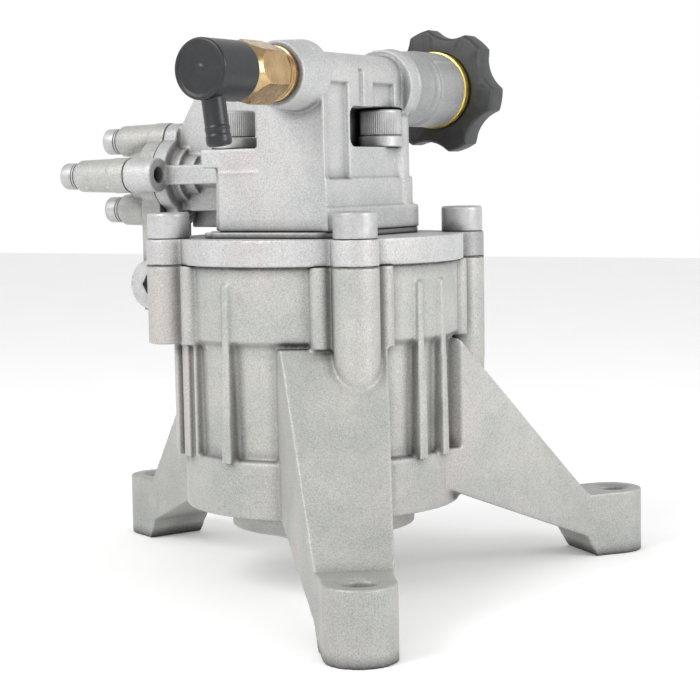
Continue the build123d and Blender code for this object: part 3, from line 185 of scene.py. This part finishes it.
def make_materials():
    """One material for each slot of the record, and a second tone of the casting for the head."""
    # third colour of each: painted shade of crevices; casing fade: painted shade, darker towards the bottom;
    # head fade: darker barrel
    made = {"cast_aluminium": cast_aluminium("cast_aluminium", (0.46, 0.456, 0.431), (0.395, 0.405, 0.387),
                                             (0.2, 0.195, 0.185), ("Z", 60.0, 5.0, 0.85)),
            "cast_aluminium_cool": cast_aluminium("cast_aluminium_cool", (0.525, 0.527, 0.523),
                                                  (0.455, 0.462, 0.465), (0.2, 0.2, 0.2),
                                                  ("Y", 19.0, 23.0, 0.68))}

    f = Finish("plated_steel", 0.5, 0.42)
    grain = f.noise(0.3, 3, 0.6)
    colour = f.ramp(f.noise(4, 3, 0.6), ((0.35, (0.42, 0.422, 0.42)), (0.65, (0.52, 0.522, 0.52))))
    # painted shade in closed-in places
    colour = f.blend(1.0, colour, f.painted_recess_shade(5, 1.4), "MULTIPLY")
    colour = f.blend(0.3, colour, f.ramp(grain, ((0.3, 0.25), (0.7, 0.8))), "OVERLAY")
    f.bump(grain, 0.04, 0.6)
    made["plated_steel"] = f.done(colour, f.ramp(f.noise(1.5), ((0.3, 0.34), (0.7, 0.5))))

    f = Finish("ground_steel", 1.0, 0.24)
    marks = f.noise(0.25, 4, 0.6, (0.25, 0.25, 3.0))
    colour = f.ramp(marks, ((0.3, (0.46, 0.46, 0.45)), (0.7, (0.64, 0.64, 0.63))))
    f.bump(marks, 0.02, 0.4)
    made["ground_steel"] = f.done(colour, f.ramp(f.noise(2), ((0.3, 0.18), (0.7, 0.34))))

    f = Finish("spring_steel", 1.0, 0.3)
    colour = f.ramp(f.noise(1.2, 4, 0.6), ((0.3, (0.28, 0.28, 0.29)), (0.7, (0.42, 0.42, 0.42))))
    f.bump(f.noise(0.4), 0.02, 0.5)
    made["spring_steel"] = f.done(colour)

    for name, deep, light, rough in (("brass", (0.4, 0.27, 0.14), (0.54, 0.38, 0.2), 0.22),
                                     ("pale_brass", (0.86, 0.62, 0.13), (0.97, 0.78, 0.24), 0.36)):
        f = Finish(name, 1.0, rough)
        lines = f.noise(0.35, 3, 0.7, (0.15, 3.0, 0.15))
        clouds = f.ramp(f.noise(5, 3, 0.6), ((0.35, deep), (0.65, light)))
        colour = f.blend(0.4, clouds, f.ramp(lines, ((0.3, 0.25), (0.7, 0.8))), "OVERLAY")
        f.bump(lines, 0.02, 0.5)
        made[name] = f.done(colour, f.ramp(f.noise(1.7), ((0.3, rough - 0.05), (0.7, rough + 0.14))))

    for name, dark, light, low, high, size in (
            ("black_plastic", (0.008, 0.0085, 0.01), (0.016, 0.017, 0.02), 0.28, 0.42, 0.35),
            ("knob_plastic", (0.028, 0.029, 0.03), (0.045, 0.046, 0.048), 0.42, 0.58, 0.5),
            ("valve_plastic", (0.62, 0.6, 0.54), (0.74, 0.72, 0.66), 0.35, 0.5, 0.6),
            ("seal_rubber", (0.015, 0.015, 0.014), (0.03, 0.03, 0.028), 0.55, 0.75, 0.4),
            ("gasket_paper", (0.1, 0.11, 0.1), (0.17, 0.18, 0.16), 0.75, 0.9, 0.7)):
        f = Finish(name, 0.0, low)
        colour = f.ramp(f.noise(3, 5, 0.7), ((0.35, dark), (0.65, light)))
        leather = f.noise(size, 3, 0.6)
        f.bump(leather, 0.03, 0.5)
        made[name] = f.done(colour, f.ramp(leather, ((0.3, low), (0.7, high))))
    return made


MATERIALS = make_materials()
SLOTS = {row["node"]: row["material_slot"] for row in frame["record"]["subparts"]}


def dress(thing, name):
    """Gives an object one material."""
    if not thing.material_slots:
        thing.data.materials.append(MATERIALS[name])
    for held in thing.material_slots:
        held.link = "OBJECT"
        held.material = MATERIALS[name]


for node_name, thing in frame["nodes"].items():
    dress(thing, SLOTS[node_name])


# --- mesh helpers -------------------------------------------------------------------------------
def circle(radius, angle):
    return radius


def hexagon(radius, angle):
    """Six flats; radius is half the size across them."""
    return radius / math.cos((angle % (math.pi / 3)) - math.pi / 6)


def knurl(radius, angle):
    """Fine upright teeth."""
    return radius - 0.17 * (0.5 - 0.5 * math.cos(60 * angle)) ** 1.5


def blunted(limit, phase=0.0):
    """A hexagon with its corners turned off at a radius."""
    def shape(radius, angle):
        return min(hexagon(radius, angle + phase), limit)
    return shape


class Piece:
    """Closed shells gathered into one mesh. Shells are given in millimetres."""

    def __init__(self):
        self.mesh = bmesh.new()

    def stack(self, rings, place, count=64, loop=False):
        """Joins rings of (height, radius[, shape]) along the Z axis of place. Radius 0 is a pole."""
        rows = []
        for ring in rings:
            height, radius = ring[:2]
            shape = ring[2] if len(ring) > 2 else circle
            if radius == 0:
                rows.append([self.mesh.verts.new(place @ Vector((0, 0, height)))])
                continue
            row = []
            for n in range(count):
                angle = n * 2 * math.pi / count
                reach = shape(radius, angle)
                spot = Vector((reach * math.cos(angle), reach * math.sin(angle), height))
                row.append(self.mesh.verts.new(place @ spot))
            rows.append(row)
        pairs = list(zip(rows, rows[1:]))
        if loop:
            pairs.append((rows[-1], rows[0]))
        for low, high in pairs:
            self.band(low, high, count)
        for row, end in ((rows[0], True), (rows[-1], False)):
            if not loop and len(row) > 1:
                self.mesh.faces.new(list(reversed(row)) if end else row)
        return self

    def band(self, low, high, count):
        for n in range(count):
            m = (n + 1) % count
            corners = [low[n % len(low)], low[m % len(low)], high[m % len(high)], high[n % len(high)]]
            kept = [v for k, v in enumerate(corners) if v not in corners[:k]]
            if len(kept) > 2:
                self.mesh.faces.new(kept)

    def sweep(self, outlines):
        """Joins a row of equal outlines, each a list of points, and closes both ends."""
        rows = [[self.mesh.verts.new(Vector(p)) for p in outline] for outline in outlines]
        for low, high in zip(rows, rows[1:]):
            self.band(low, high, len(low))
        self.mesh.faces.new(list(reversed(rows[0])))
        self.mesh.faces.new(rows[-1])
        return self

    def thread(self, start, end, radius, depth, pitch, steps=6):
        """Rings for stack, whose radius follows the turn of a screw thread."""
        def crest(height):
            def shape(around, angle):
                phase = (height / pitch - angle / (2 * math.pi)) % 1
                return around - depth * min(1, abs(2 * phase - 1) * 1.5)
            return shape
        total = max(2, int((end - start) / pitch * steps))
        heights = [start + (end - start) * n / total for n in range(total + 1)]
        return [(h, radius, crest(h)) for h in heights]

    def build(self, name, finish, body, replaced=(), sharp=38, voxel=0, rounds=0, slot=None):
        bmesh.ops.recalc_face_normals(self.mesh, faces=self.mesh.faces)
        data = bpy.data.meshes.new(name)
        self.mesh.to_mesh(data)
        self.mesh.free()
        data.transform(Matrix.Scale(MM, 4))
        thing = bpy.data.objects.new(name, data)
        SCENE.collection.objects.link(thing)
        if voxel:
            reshape(thing, voxel, rounds)
        for face in thing.data.polygons:
            face.use_smooth = True
        if not voxel:
            thing.data.set_sharp_from_angle(angle=math.radians(sharp))
        return settle(thing, finish, body, replaced)


def settle(thing, finish, body, replaced):
    """Material, body and replaced nodes of a new piece."""
    dress(thing, finish)
    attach(thing, body)
    if replaced:
        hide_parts(*replaced)
    return thing


def reshape(thing, voxel, rounds):
    """Remeshes a closed mesh at a voxel size in millimetres and softens its edges."""
    remesh = thing.modifiers.new("remesh", "REMESH")
    remesh.mode = "VOXEL"
    remesh.voxel_size = voxel * MM
    if rounds:
        soft = thing.modifiers.new("soft", "SMOOTH")
        soft.factor = 0.5
        soft.iterations = rounds
    graph = bpy.context.evaluated_depsgraph_get()
    made = bpy.data.meshes.new_from_object(thing.evaluated_get(graph))
    thing.modifiers.clear()
    old, thing.data = thing.data, made
    bpy.data.meshes.remove(old)


def place_at(x, y, z, axis):
    """Frame at a point in millimetres whose Z axis points along axis."""
    turn = Vector(axis).to_track_quat("Z", "Y").to_matrix().to_4x4()
    return Matrix.Translation((x, y, z)) @ turn


def solids(node):
    """Boxes in millimetres of the separate solids of a CAD node, as (lowest, highest) corners."""
    mesh = bmesh.new()
    mesh.from_mesh(frame["nodes"][node].data)
    bmesh.ops.remove_doubles(mesh, verts=mesh.verts, dist=1e-6)
    left = set(mesh.verts)
    boxes = []
    while left:
        edge = [left.pop()]
        low, high = Vector(edge[0].co), Vector(edge[0].co)
        while edge:
            vert = edge.pop()
            low = Vector(map(min, low, vert.co))
            high = Vector(map(max, high, vert.co))
            for link in vert.link_edges:
                other = link.other_vert(vert)
                if other in left:
                    left.discard(other)
                    edge.append(other)
        boxes.append((low / MM, high / MM))
    mesh.free()
    return sorted(boxes, key=lambda b: (round(b[0].z, 1), round(b[0].x, 1), round(b[0].y, 1)))


def box_mm(node):
    low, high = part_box(node)
    return low / MM, high / MM


# --- castings -----------------------------------------------------------------------------------
def casting(node, voxel, rounds, finish, detail=None, added=None):
    """The CAD solid as a casting with softened edges.

    The shells of the Piece added are fused with it, and detail moves a point of the surface, in millimetres.
    """
    data = frame["nodes"][node].data.copy()
    welded = bmesh.new()
    welded.from_mesh(data)
    bmesh.ops.remove_doubles(welded, verts=welded.verts, dist=1e-6)
    if added:
        bmesh.ops.recalc_face_normals(added.mesh, faces=added.mesh.faces)
        bmesh.ops.scale(added.mesh, vec=(MM, MM, MM), verts=added.mesh.verts)
        shells = bpy.data.meshes.new("shells")
        added.mesh.to_mesh(shells)
        added.mesh.free()
        welded.from_mesh(shells)
        bpy.data.meshes.remove(shells)
    welded.to_mesh(data)
    welded.free()
    data.materials.clear()
    thing = bpy.data.objects.new(node + "_casting", data)
    SCENE.collection.objects.link(thing)
    reshape(thing, voxel, rounds)
    if detail:
        for vert in thing.data.vertices:
            vert.co = detail(vert.co / MM) * MM
    for face in thing.data.polygons:
        face.use_smooth = True
    return settle(thing, finish, "housing", (node,))


ring_low, ring_high = box_mm("unloader_lock_ring")
PORT_X = (ring_low.x + ring_high.x) / 2
BARREL_Z = (ring_low.z + ring_high.z) / 2
BARREL_START_Y, BARREL_MIN_R, BARREL_MAX_R = 19, 10.6, 12.6
BEADS = ((21.5, 0.8, 0.5), (30.4, 1.0, 0.22), (34.3, 0.7, 0.45))   # place along Y, width and height
FLASH_Z, FLASH_WIDE, FLASH_HIGH = 126.4, 0.45, 0.28
# panels of the +X face: lowest and highest (y, z), and depth
PANELS = (((-28.0, 124.2), (-16.2, 152.2), 1.3), ((-9.6, 143.0), (-7.4, 156.4), 0.9),
          ((-1.4, 143.0), (11.0, 152.5), 1.3))


def hollow(spot, low, high, depth):
    """Depth of a shallow panel of the +X face at a point: (y, z) of its lowest and highest corners."""
    inside = min(spot.y - low[0], high[0] - spot.y, spot.z - low[1], high[1] - spot.z)
    return depth * max(0.0, min(1.0, inside / 0.5 + 0.5))


def head_detail(spot):
    """Turned beads round the barrel, panels of the +X face, and the flash line of the mould halves."""
    across, up = spot.x - PORT_X, spot.z - BARREL_Z
    radius = math.hypot(across, up)
    if spot.y > BARREL_START_Y and BARREL_MIN_R < radius < BARREL_MAX_R:
        grown = sum(high * math.exp(-((spot.y - y) / wide) ** 2) for y, wide, high in BEADS)
        spot = spot + Vector((across, 0, up)) * (grown / radius)
    # +X face of the block
    if 20.6 < spot.x < 22.4:
        spot = spot - Vector((sum(hollow(spot, *panel) for panel in PANELS), 0, 0))
    # front face of the block, up to the root of the relief valve boss
    if spot.y < -30.6 and spot.z > 109 and spot.x < -1:
        spot = spot - Vector((0, FLASH_HIGH * math.exp(-((spot.z - FLASH_Z) / FLASH_WIDE) ** 2), 0))
    return spot


FINE = 1.0
RAW_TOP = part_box("casing")[1].z / MM


def casing_detail(spot):
    """Brings the joint face up to the flange, so only a thin line of the gasket shows."""
    return spot + Vector((0, 0, 0.25)) if spot.z > RAW_TOP - 0.4 else spot


# bolt columns that run down into the legs under them
COLUMN_PITCH_R = 46.4
COLUMN_RINGS = [(50, 6.0), (70, 6.75), (80, 6.75)]
columns = Piece()
for angle in (-45, 45):
    spot = Vector((math.cos(math.radians(angle)), math.sin(math.radians(angle)), 0)) * COLUMN_PITCH_R
    columns.stack(COLUMN_RINGS, Matrix.Translation(spot), 48)
casting("casing", 0.52 * FINE, 2, "cast_aluminium", casing_detail, columns)
casting("guide_flange", 0.45 * FINE, 2, "cast_aluminium_cool")
casting("valve_plate", 0.4 * FINE, 1, "cast_aluminium_cool")
# closes the face above the pocket, and adds a round column beside it and a bead down the front corner
face = Piece()
FILL = ((-19.2, 146.2), (-0.6, 146.2), (-0.6, 155.6), (-19.2, 155.6))
SIDE_COLUMN = [(109.4, 4.1), (142.6, 4.1), (144.4, 2.6)]
CORNER_BEAD = [(112, 0.55), (150, 0.55)]
BOLT_COLUMN = [(109.3, 6.0), (130, 5.6)]
face.sweep([[(x, y, z) for y, z in FILL] for x in (18.0, 21.45)])
face.stack(SIDE_COLUMN, Matrix.Translation((18.7, 15.8, 0)), 48)
face.stack(CORNER_BEAD, Matrix.Translation((21.3, -30.6, 0)), 16)
# round column under the head bolt that stands outside the block
for low, high in solids("head_bolts"):
    centre = (low + high) / 2
    if centre.x < -10 and centre.y < 0:
        face.stack(BOLT_COLUMN, Matrix.Translation((centre.x, centre.y, 0)), 48)
casting("pump_head", 0.42 * FINE, 2, "cast_aluminium_cool", head_detail, face)
casting("valve_cover", 0.4 * FINE, 3, "cast_aluminium")


# --- fasteners ----------------------------------------------------------------------------------
def cap_screw(piece, place, head_r, head_h, shank_r, length, hexagon_size, rim, side=circle, pitch=1.25):
    """Socket head cap screw with a rounded rim, a hexagon socket and a threaded shank below z=0."""
    socket = hexagon_size / 2
    deep = head_h * 0.55
    rings = [(-length, 0), (-length, shank_r - 0.8)]
    rings += piece.thread(-length + 0.4, -length * 0.35, shank_r, 0.55, pitch)
    rings += [(-length * 0.35 + 0.5, shank_r), (-0.01, shank_r), (0, head_r - 0.4),
              (0.25, head_r - 0.06, side), (0.5, head_r, side), (head_h - rim - 0.4, head_r, side)]
    for n in range(5):
        turn = n * math.pi / 8
        rings.append((head_h - rim * (1 - math.sin(turn)), head_r - rim * (1 - math.cos(turn)) * 0.9))
    rings += [(head_h, head_r - rim - 0.2), (head_h, socket + 1.1),
              (head_h - 0.5, socket, blunted(socket * 1.16)), (head_h - deep, socket, hexagon),
              (head_h - deep - 0.9, 0)]
    count = 360 if side is knurl else 72
    piece.stack(rings, place, count)


M8_R, M8_HEAD_R, M8_HEAD_H = 3.98, 6.4, 7.9
bolts = Piece()
for low, high in solids("flange_bolts"):
    centre = (low + high) / 2
    cap_screw(bolts, place_at(centre.x, centre.y, high.z - M8_HEAD_H, (0, 0, 1)), M8_HEAD_R, M8_HEAD_H, M8_R,
              high.z - M8_HEAD_H - low.z, 6, 0.9)
bolts.build("flange_bolt_set", "plated_steel", "housing", ("flange_bolts",))

bolts = Piece()
for low, high in solids("head_bolts"):
    centre = (low + high) / 2
    cap_screw(bolts, place_at(centre.x, centre.y, high.z - M8_HEAD_H, (0, 0, 1)), M8_HEAD_R, M8_HEAD_H, M8_R,
              high.z - M8_HEAD_H - low.z, 6, 0.7, knurl)
bolts.build("head_bolt_set", "plated_steel", "housing", ("head_bolts",))

washers = Piece()
# split washers: steps, first angle and span in degrees, and rise in mm
SPLIT_STEPS, SPLIT_ANGLE, SPLIT_SPAN, SPLIT_RISE = 60, -48, 352, 0.22
WASHER_BORE, SPLIT_MAX_R = 4.2, 6.6
for low, high in solids("head_bolt_washers"):
    centre = (low + high) / 2
    outer, inner, thick = (high.y - low.y) / 2, WASHER_BORE, high.z - low.z
    if outer > SPLIT_MAX_R:
        ring = [(0.15, inner), (0, inner + 0.2), (0, outer - 0.3), (0.3, outer), (thick - 0.3, outer),
                (thick, outer - 0.3), (thick, inner + 0.2), (thick - 0.15, inner)]
        washers.stack(ring, place_at(centre.x, centre.y, low.z, (0, 0, 1)), 72, loop=True)
        continue
    outlines = []
    for n in range(SPLIT_STEPS + 1):
        angle = math.radians(SPLIT_ANGLE + n * SPLIT_SPAN / SPLIT_STEPS)
        rise = SPLIT_RISE * (n / SPLIT_STEPS - 0.5)
        section = ((inner, 0.28), (outer - 0.2, 0.28), (outer, 0.45), (outer, thick - 0.45),
                   (outer - 0.2, thick - 0.28), (inner, thick - 0.28))
        outlines.append([(centre.x + r * math.cos(angle), centre.y + r * math.sin(angle), low.z + h + rise)
                         for r, h in section])
    washers.sweep(outlines)
washers.build("head_washer_set", "plated_steel", "housing", ("head_bolt_washers",))

M5_HEAD_H, M5_HEAD_R, M5_R = 4.4, 4.2, 2.48
screws = Piece()
for low, high in solids("cover_screws"):
    centre = (low + high) / 2
    root = low.x + M5_HEAD_H
    cap_screw(screws, place_at(root, centre.y, centre.z, (-1, 0, 0)), M5_HEAD_R, M5_HEAD_H, M5_R,
              high.x - root, 4, 0.7, circle, 0.8)
screws.build("cover_screw_set", "plated_steel", "housing", ("cover_screws",))

collars = Piece()
for low, high in solids("cover_screw_washers"):
    centre = (low + high) / 2
    thick = high.x - low.x
    half = thick / 2
    outer = (high.z - low.z) / 2
    ring = [(0, 2.9), (0, outer - 0.25), (0.2, outer), (half - 0.2, outer), (half - 0.08, outer - 0.25),
            (half + 0.08, outer - 0.25), (half + 0.2, outer), (thick - 0.2, outer), (thick, outer - 0.25),
            (thick, 2.9)]
    collars.stack(ring, place_at(high.x, centre.y, centre.z, (-1, 0, 0)), 64, loop=True)
collars.build("cover_screw_collars", "plated_steel", "housing", ("cover_screw_washers",))


# --- thermal relief valve -----------------------------------------------------------------------
body_low, body_high = box_mm("relief_valve_body")
RELIEF_Z = (body_low.z + body_high.z) / 2
FACE_Y = body_high.y - 14
TAIL = FACE_Y - body_low.y
relief = Piece()
FLAT, CORNER, HEX_TURN = 8, 9.1, math.radians(22)
NOSE_R, TAIL_R = 7.9, 7.35       # where the corners of the hexagon end at either chamfer
rings = [(-14, 1.6), (-14, 4.9), (-13.6, 5.3), (0, 5.3), (0, 7.5), (0.3, 7.85), (1.5, 7.85), (1.8, 7.2),
         (2.4, 7.2), (2.7, 7.75), (3.3, 7.75), (3.5, 7.3), (3.9, 7.3), (4.1, 7.75), (4.8, 7.75)]
CHAMFER = 14
for n in range(CHAMFER + 1):
    grown = n / CHAMFER
    rings.append((4.8 + 1.1 * grown, FLAT, blunted(NOSE_R + (CORNER - NOSE_R) * grown, HEX_TURN)))
for n in range(CHAMFER + 1):
    grown = n / CHAMFER
    rings.append((15.4 + 3.9 * grown, FLAT, blunted(CORNER - (CORNER - TAIL_R) * grown, HEX_TURN)))
rings += [(19.5, 7.2), (19.9, 6.9), (20.0, 5), (TAIL - 0.4, 5),
          (TAIL, 4.6), (TAIL, 3.6), (2, 3.6), (1.8, 1.6)]
relief.stack(rings, place_at(PORT_X, FACE_Y, RELIEF_Z, (0, -1, 0)), 144, loop=True)
relief.build("relief_valve_brass", "brass", "housing", ("relief_valve_body",), sharp=24)

low, high = box_mm("relief_cap")
CAP_R, CAP_BORE = 8.35, 5.35
CAP_LONG = high.y - low.y
cap = Piece()
# from the middle of the closed end, over the rounded rim, and back down the bore
rings = [(CAP_LONG - 0.05, 0), (CAP_LONG - 0.05, 0.9), (CAP_LONG - 0.3, 1.2), (CAP_LONG - 0.3, CAP_R - 1.3),
         (CAP_LONG, CAP_R - 1.0)]
for n in range(4, -1, -1):
    turn = n * math.pi / 8
    rings.append((CAP_LONG - 0.6 * (1 - math.sin(turn)), CAP_R - 0.6 * (1 - math.cos(turn))))
rings += [(0.35, CAP_R), (0, CAP_R - 0.35), (0, CAP_BORE + 0.3), (0.3, CAP_BORE), (CAP_LONG - 2.5, CAP_BORE),
          (CAP_LONG - 2.2, CAP_BORE - 0.3), (CAP_LONG - 2.2, 0)]
cap.stack(rings, place_at(PORT_X, high.y, RELIEF_Z, (0, -1, 0)), 96)
BARB_TURN = math.radians(7.8)
BARB_Y = high.y - 12.2
rings = [(0, 1.8), (0, 3.3)]
for start, end in ((15.7, 16.4), (18, 20.1)):
    rings += [(start - 0.3, 3.3), (start, 3.5), (end - 0.3, 3.5), (end, 3.36)]
rings += [(20.3, 3.3), (20.6, 2.9), (20.6, 1.8)]
barb_axis = (math.sin(BARB_TURN), 0, -math.cos(BARB_TURN))
cap.stack(rings, place_at(PORT_X, BARB_Y, RELIEF_Z, barb_axis), 72, loop=True)
cap.build("relief_cap_moulding", "black_plastic", "relief_cap", ("relief_cap",), voxel=0.2, rounds=2)


# --- unloader knob and ring ---------------------------------------------------------------------
ring = Piece()
deep = ring_high.y - ring_low.y
rings = [(0, 5.3), (0, 7.5), (0.4, 7.9), (4, 7.9), (4, 11.8), (4.3, 12.35), (deep - 0.7, 12.35),
         (deep - 0.35, 12.1), (deep - 0.3, 10.6), (deep, 10.3), (deep, 5.6), (deep - 0.3, 5.3)]
ring.stack(rings, place_at(PORT_X, ring_low.y, BARREL_Z, (0, 1, 0)), 96, loop=True)
ring.build("unloader_ring_brass", "pale_brass", "housing", ("unloader_lock_ring",), slot="brass")

KNOB_LOBES, KNOB_TIP, KNOB_VALLEY, SCALLOP = 6, 20.2, 17.0, 12.0
KNOB_PHASE = math.radians(10)


def lobed(radius, angle):
    """Outline of the knob, grown or shrunk to radius at the lobes."""
    part = 2 * math.pi / KNOB_LOBES
    off = (angle - KNOB_PHASE) % part - part / 2
    reach = KNOB_VALLEY + SCALLOP
    inside = SCALLOP ** 2 - (reach * math.sin(off)) ** 2
    edge = reach * math.cos(off) - math.sqrt(inside) if inside > 0 else KNOB_TIP
    return min(KNOB_TIP, edge) + radius - KNOB_TIP


low, high = box_mm("unloader_knob")
thick = high.y - low.y
knob = Piece()
pocket = box_mm("unloader_pusher")[1].y - low.y + 0.3
T = KNOB_TIP
rings = [(pocket, 0), (pocket, 5.05), (0.3, 5.05), (0, 5.4), (0, 10.5), (0.3, 11.2), (0.3, 12), (0, 12.6),
         (0, T - 1.6, lobed), (0.25, T - 0.7, lobed), (0.9, T - 0.1, lobed), (1.4, T, lobed),
         (thick - 4.2, T, lobed), (thick - 3.6, T - 0.15, lobed), (thick - 1, T - 1.9, lobed),
         (thick - 0.3, T - 2.6, lobed),
         (thick, T - 3.6, lobed), (thick, T - 5.2, lobed), (thick - 0.5, 13.2), (thick - 1.6, 12.4),
         (thick - 1.9, 11), (thick - 1.9, 7.2), (thick - 1.6, 6.8), (thick - 0.5, 6.6), (thick - 0.2, 6.2),
         (thick - 0.2, 0)]
knob.stack(rings, place_at(PORT_X, low.y, BARREL_Z, (0, 1, 0)), 180)
knob.build("unloader_knob_moulding", "knob_plastic", "unloader_knob", ("unloader_knob",), sharp=20)


# --- water connections --------------------------------------------------------------------------
def along_y(node):
    """Frame at the low end of a round node, with its Z axis along Y."""
    low, high = box_mm(node)
    return place_at((low.x + high.x) / 2, low.y, (low.z + high.z) / 2, (0, 1, 0))


def grip(radius, angle):
    """Shallow flutes for the fingers."""
    return radius - 0.55 * (0.5 - 0.5 * math.cos(24 * angle)) ** 2


outlet = Piece()
place = along_y("outlet_fitting")
rings = [(0.3, 4.5), (0, 4.8), (0, 7.5), (0.45, 7.95), (7, 7.95), (7, 10.3), (7.7, 11, blunted(12.4)),
         (11.3, 11, blunted(12.4)), (12, 10.3), (12, 9.5), (13.2, 9.5)]
rings += outlet.thread(13.4, 25.2, 10.85, 0.8, 1.5)
rings += [(25.5, 9.8), (26, 9.3), (26, 4.9), (25.6, 4.5)]
outlet.stack(rings, place, 96, loop=True)
outlet.build("outlet_fitting_threaded", SLOTS["outlet_fitting"], "housing", ("outlet_fitting",), sharp=30)

inlet = Piece()
place = along_y("water_inlet_fitting")
rings = [(0.3, 4), (0, 4.4), (0, 5.5), (0.45, 5.95), (12, 5.95), (12, 9.1), (12.4, 9.5), (21, 9.5),
         (21, 14.3), (21.4, 15, grip), (22.2, 15.5, grip), (34.8, 15.5, grip), (35.6, 15, grip), (36, 14.3),
         (36, 13.9), (35.6, 13.3)]
rings += inlet.thread(25.6, 35.2, 13.3, 0.7, 2.2)[::-1]
rings += [(25.2, 13.3), (24, 13.3), (24, 7.8), (23.8, 7.5), (14.5, 7.5), (14.5, 4)]
inlet.stack(rings, place, 192, loop=True)
inlet.build("water_inlet_threaded", SLOTS["water_inlet_fitting"], "housing", ("water_inlet_fitting",),
            sharp=30)


# --- floor, light and camera --------------------------------------------------------------------
FLOOR_HALF, FLOOR_Z = 2000, -0.05
floor = Piece()
floor.mesh.faces.new([floor.mesh.verts.new((x * FLOOR_HALF, y * FLOOR_HALF, FLOOR_Z)) for x, y in
                      ((-1, -1), (1, -1), (1, 1), (-1, 1))])
ground_mesh = bpy.data.meshes.new("floor")
floor.mesh.to_mesh(ground_mesh)
floor.mesh.free()
ground_mesh.transform(Matrix.Scale(MM, 4))
ground = bpy.data.objects.new("floor", ground_mesh)
SCENE.collection.objects.link(ground)
paper = Finish("pale_floor", 0.0, 0.9, Emission_Color=(1, 1, 1, 1), Emission_Strength=0.14)
ground_mesh.materials.append(paper.done(paper.ramp(paper.noise(60, 2), ((0.3, 0.9), (0.7, 0.93)))))

world = bpy.data.worlds.new("studio")
world.use_nodes = True
backdrop = world.node_tree.nodes["Background"]
backdrop.inputs["Strength"].default_value = 1.0
heading = world.node_tree.nodes.new("ShaderNodeTexCoord")
split = world.node_tree.nodes.new("ShaderNodeSeparateXYZ")
fade = world.node_tree.nodes.new("ShaderNodeValToRGB")
world.node_tree.links.new(heading.outputs["Generated"], split.inputs[0])
world.node_tree.links.new(split.outputs["Z"], fade.inputs["Fac"])
world.node_tree.links.new(fade.outputs["Color"], backdrop.inputs["Color"])
for point, (height, tone) in zip(fade.color_ramp.elements, ((0.3, 1.0), (0.75, 0.66))):
    point.position = height
    point.color = (tone, tone, tone, 1)
SCENE.world = world
SCENE.view_settings.view_transform = "Standard"


def softbox(name, where, target, size, power, tone=(1, 1, 1)):
    """A square area light, placed and aimed in millimetres."""
    lamp = bpy.data.lights.new(name, "AREA")
    lamp.size = size * MM
    lamp.energy = power
    lamp.color = tone
    thing = bpy.data.objects.new(name, lamp)
    thing.location = Vector(where) * MM
    aim = Vector(target) - Vector(where)
    thing.rotation_euler = aim.to_track_quat("-Z", "Y").to_euler()
    SCENE.collection.objects.link(thing)


softbox("key", (-250, -700, 650), (0, 0, 80), 500, 4.6)
softbox("side", (750, 0, 350), (0, 0, 90), 400, 2.6)

EYE = Vector((301.428, -482.894, 125.114))
AHEAD = Vector((-0.51352, 0.85288, -0.09426))
RIGHT = Vector((0.85670, 0.51582, 0))
ROLL = math.radians(1.06)
LENS = 94.78
above = RIGHT.cross(AHEAD).normalized()
across = math.cos(ROLL) * RIGHT - math.sin(ROLL) * above
upward = math.sin(ROLL) * RIGHT + math.cos(ROLL) * above
view = bpy.data.cameras.new("camera")
view.lens = LENS
view.sensor_width = 36
view.clip_start = 10 * MM
view.clip_end = 20
camera = bpy.data.objects.new("camera", view)
turn = Matrix((across, upward, -AHEAD)).transposed().to_4x4()
camera.matrix_world = Matrix.Translation(EYE * MM) @ turn
SCENE.collection.objects.link(camera)
SCENE.camera = camera
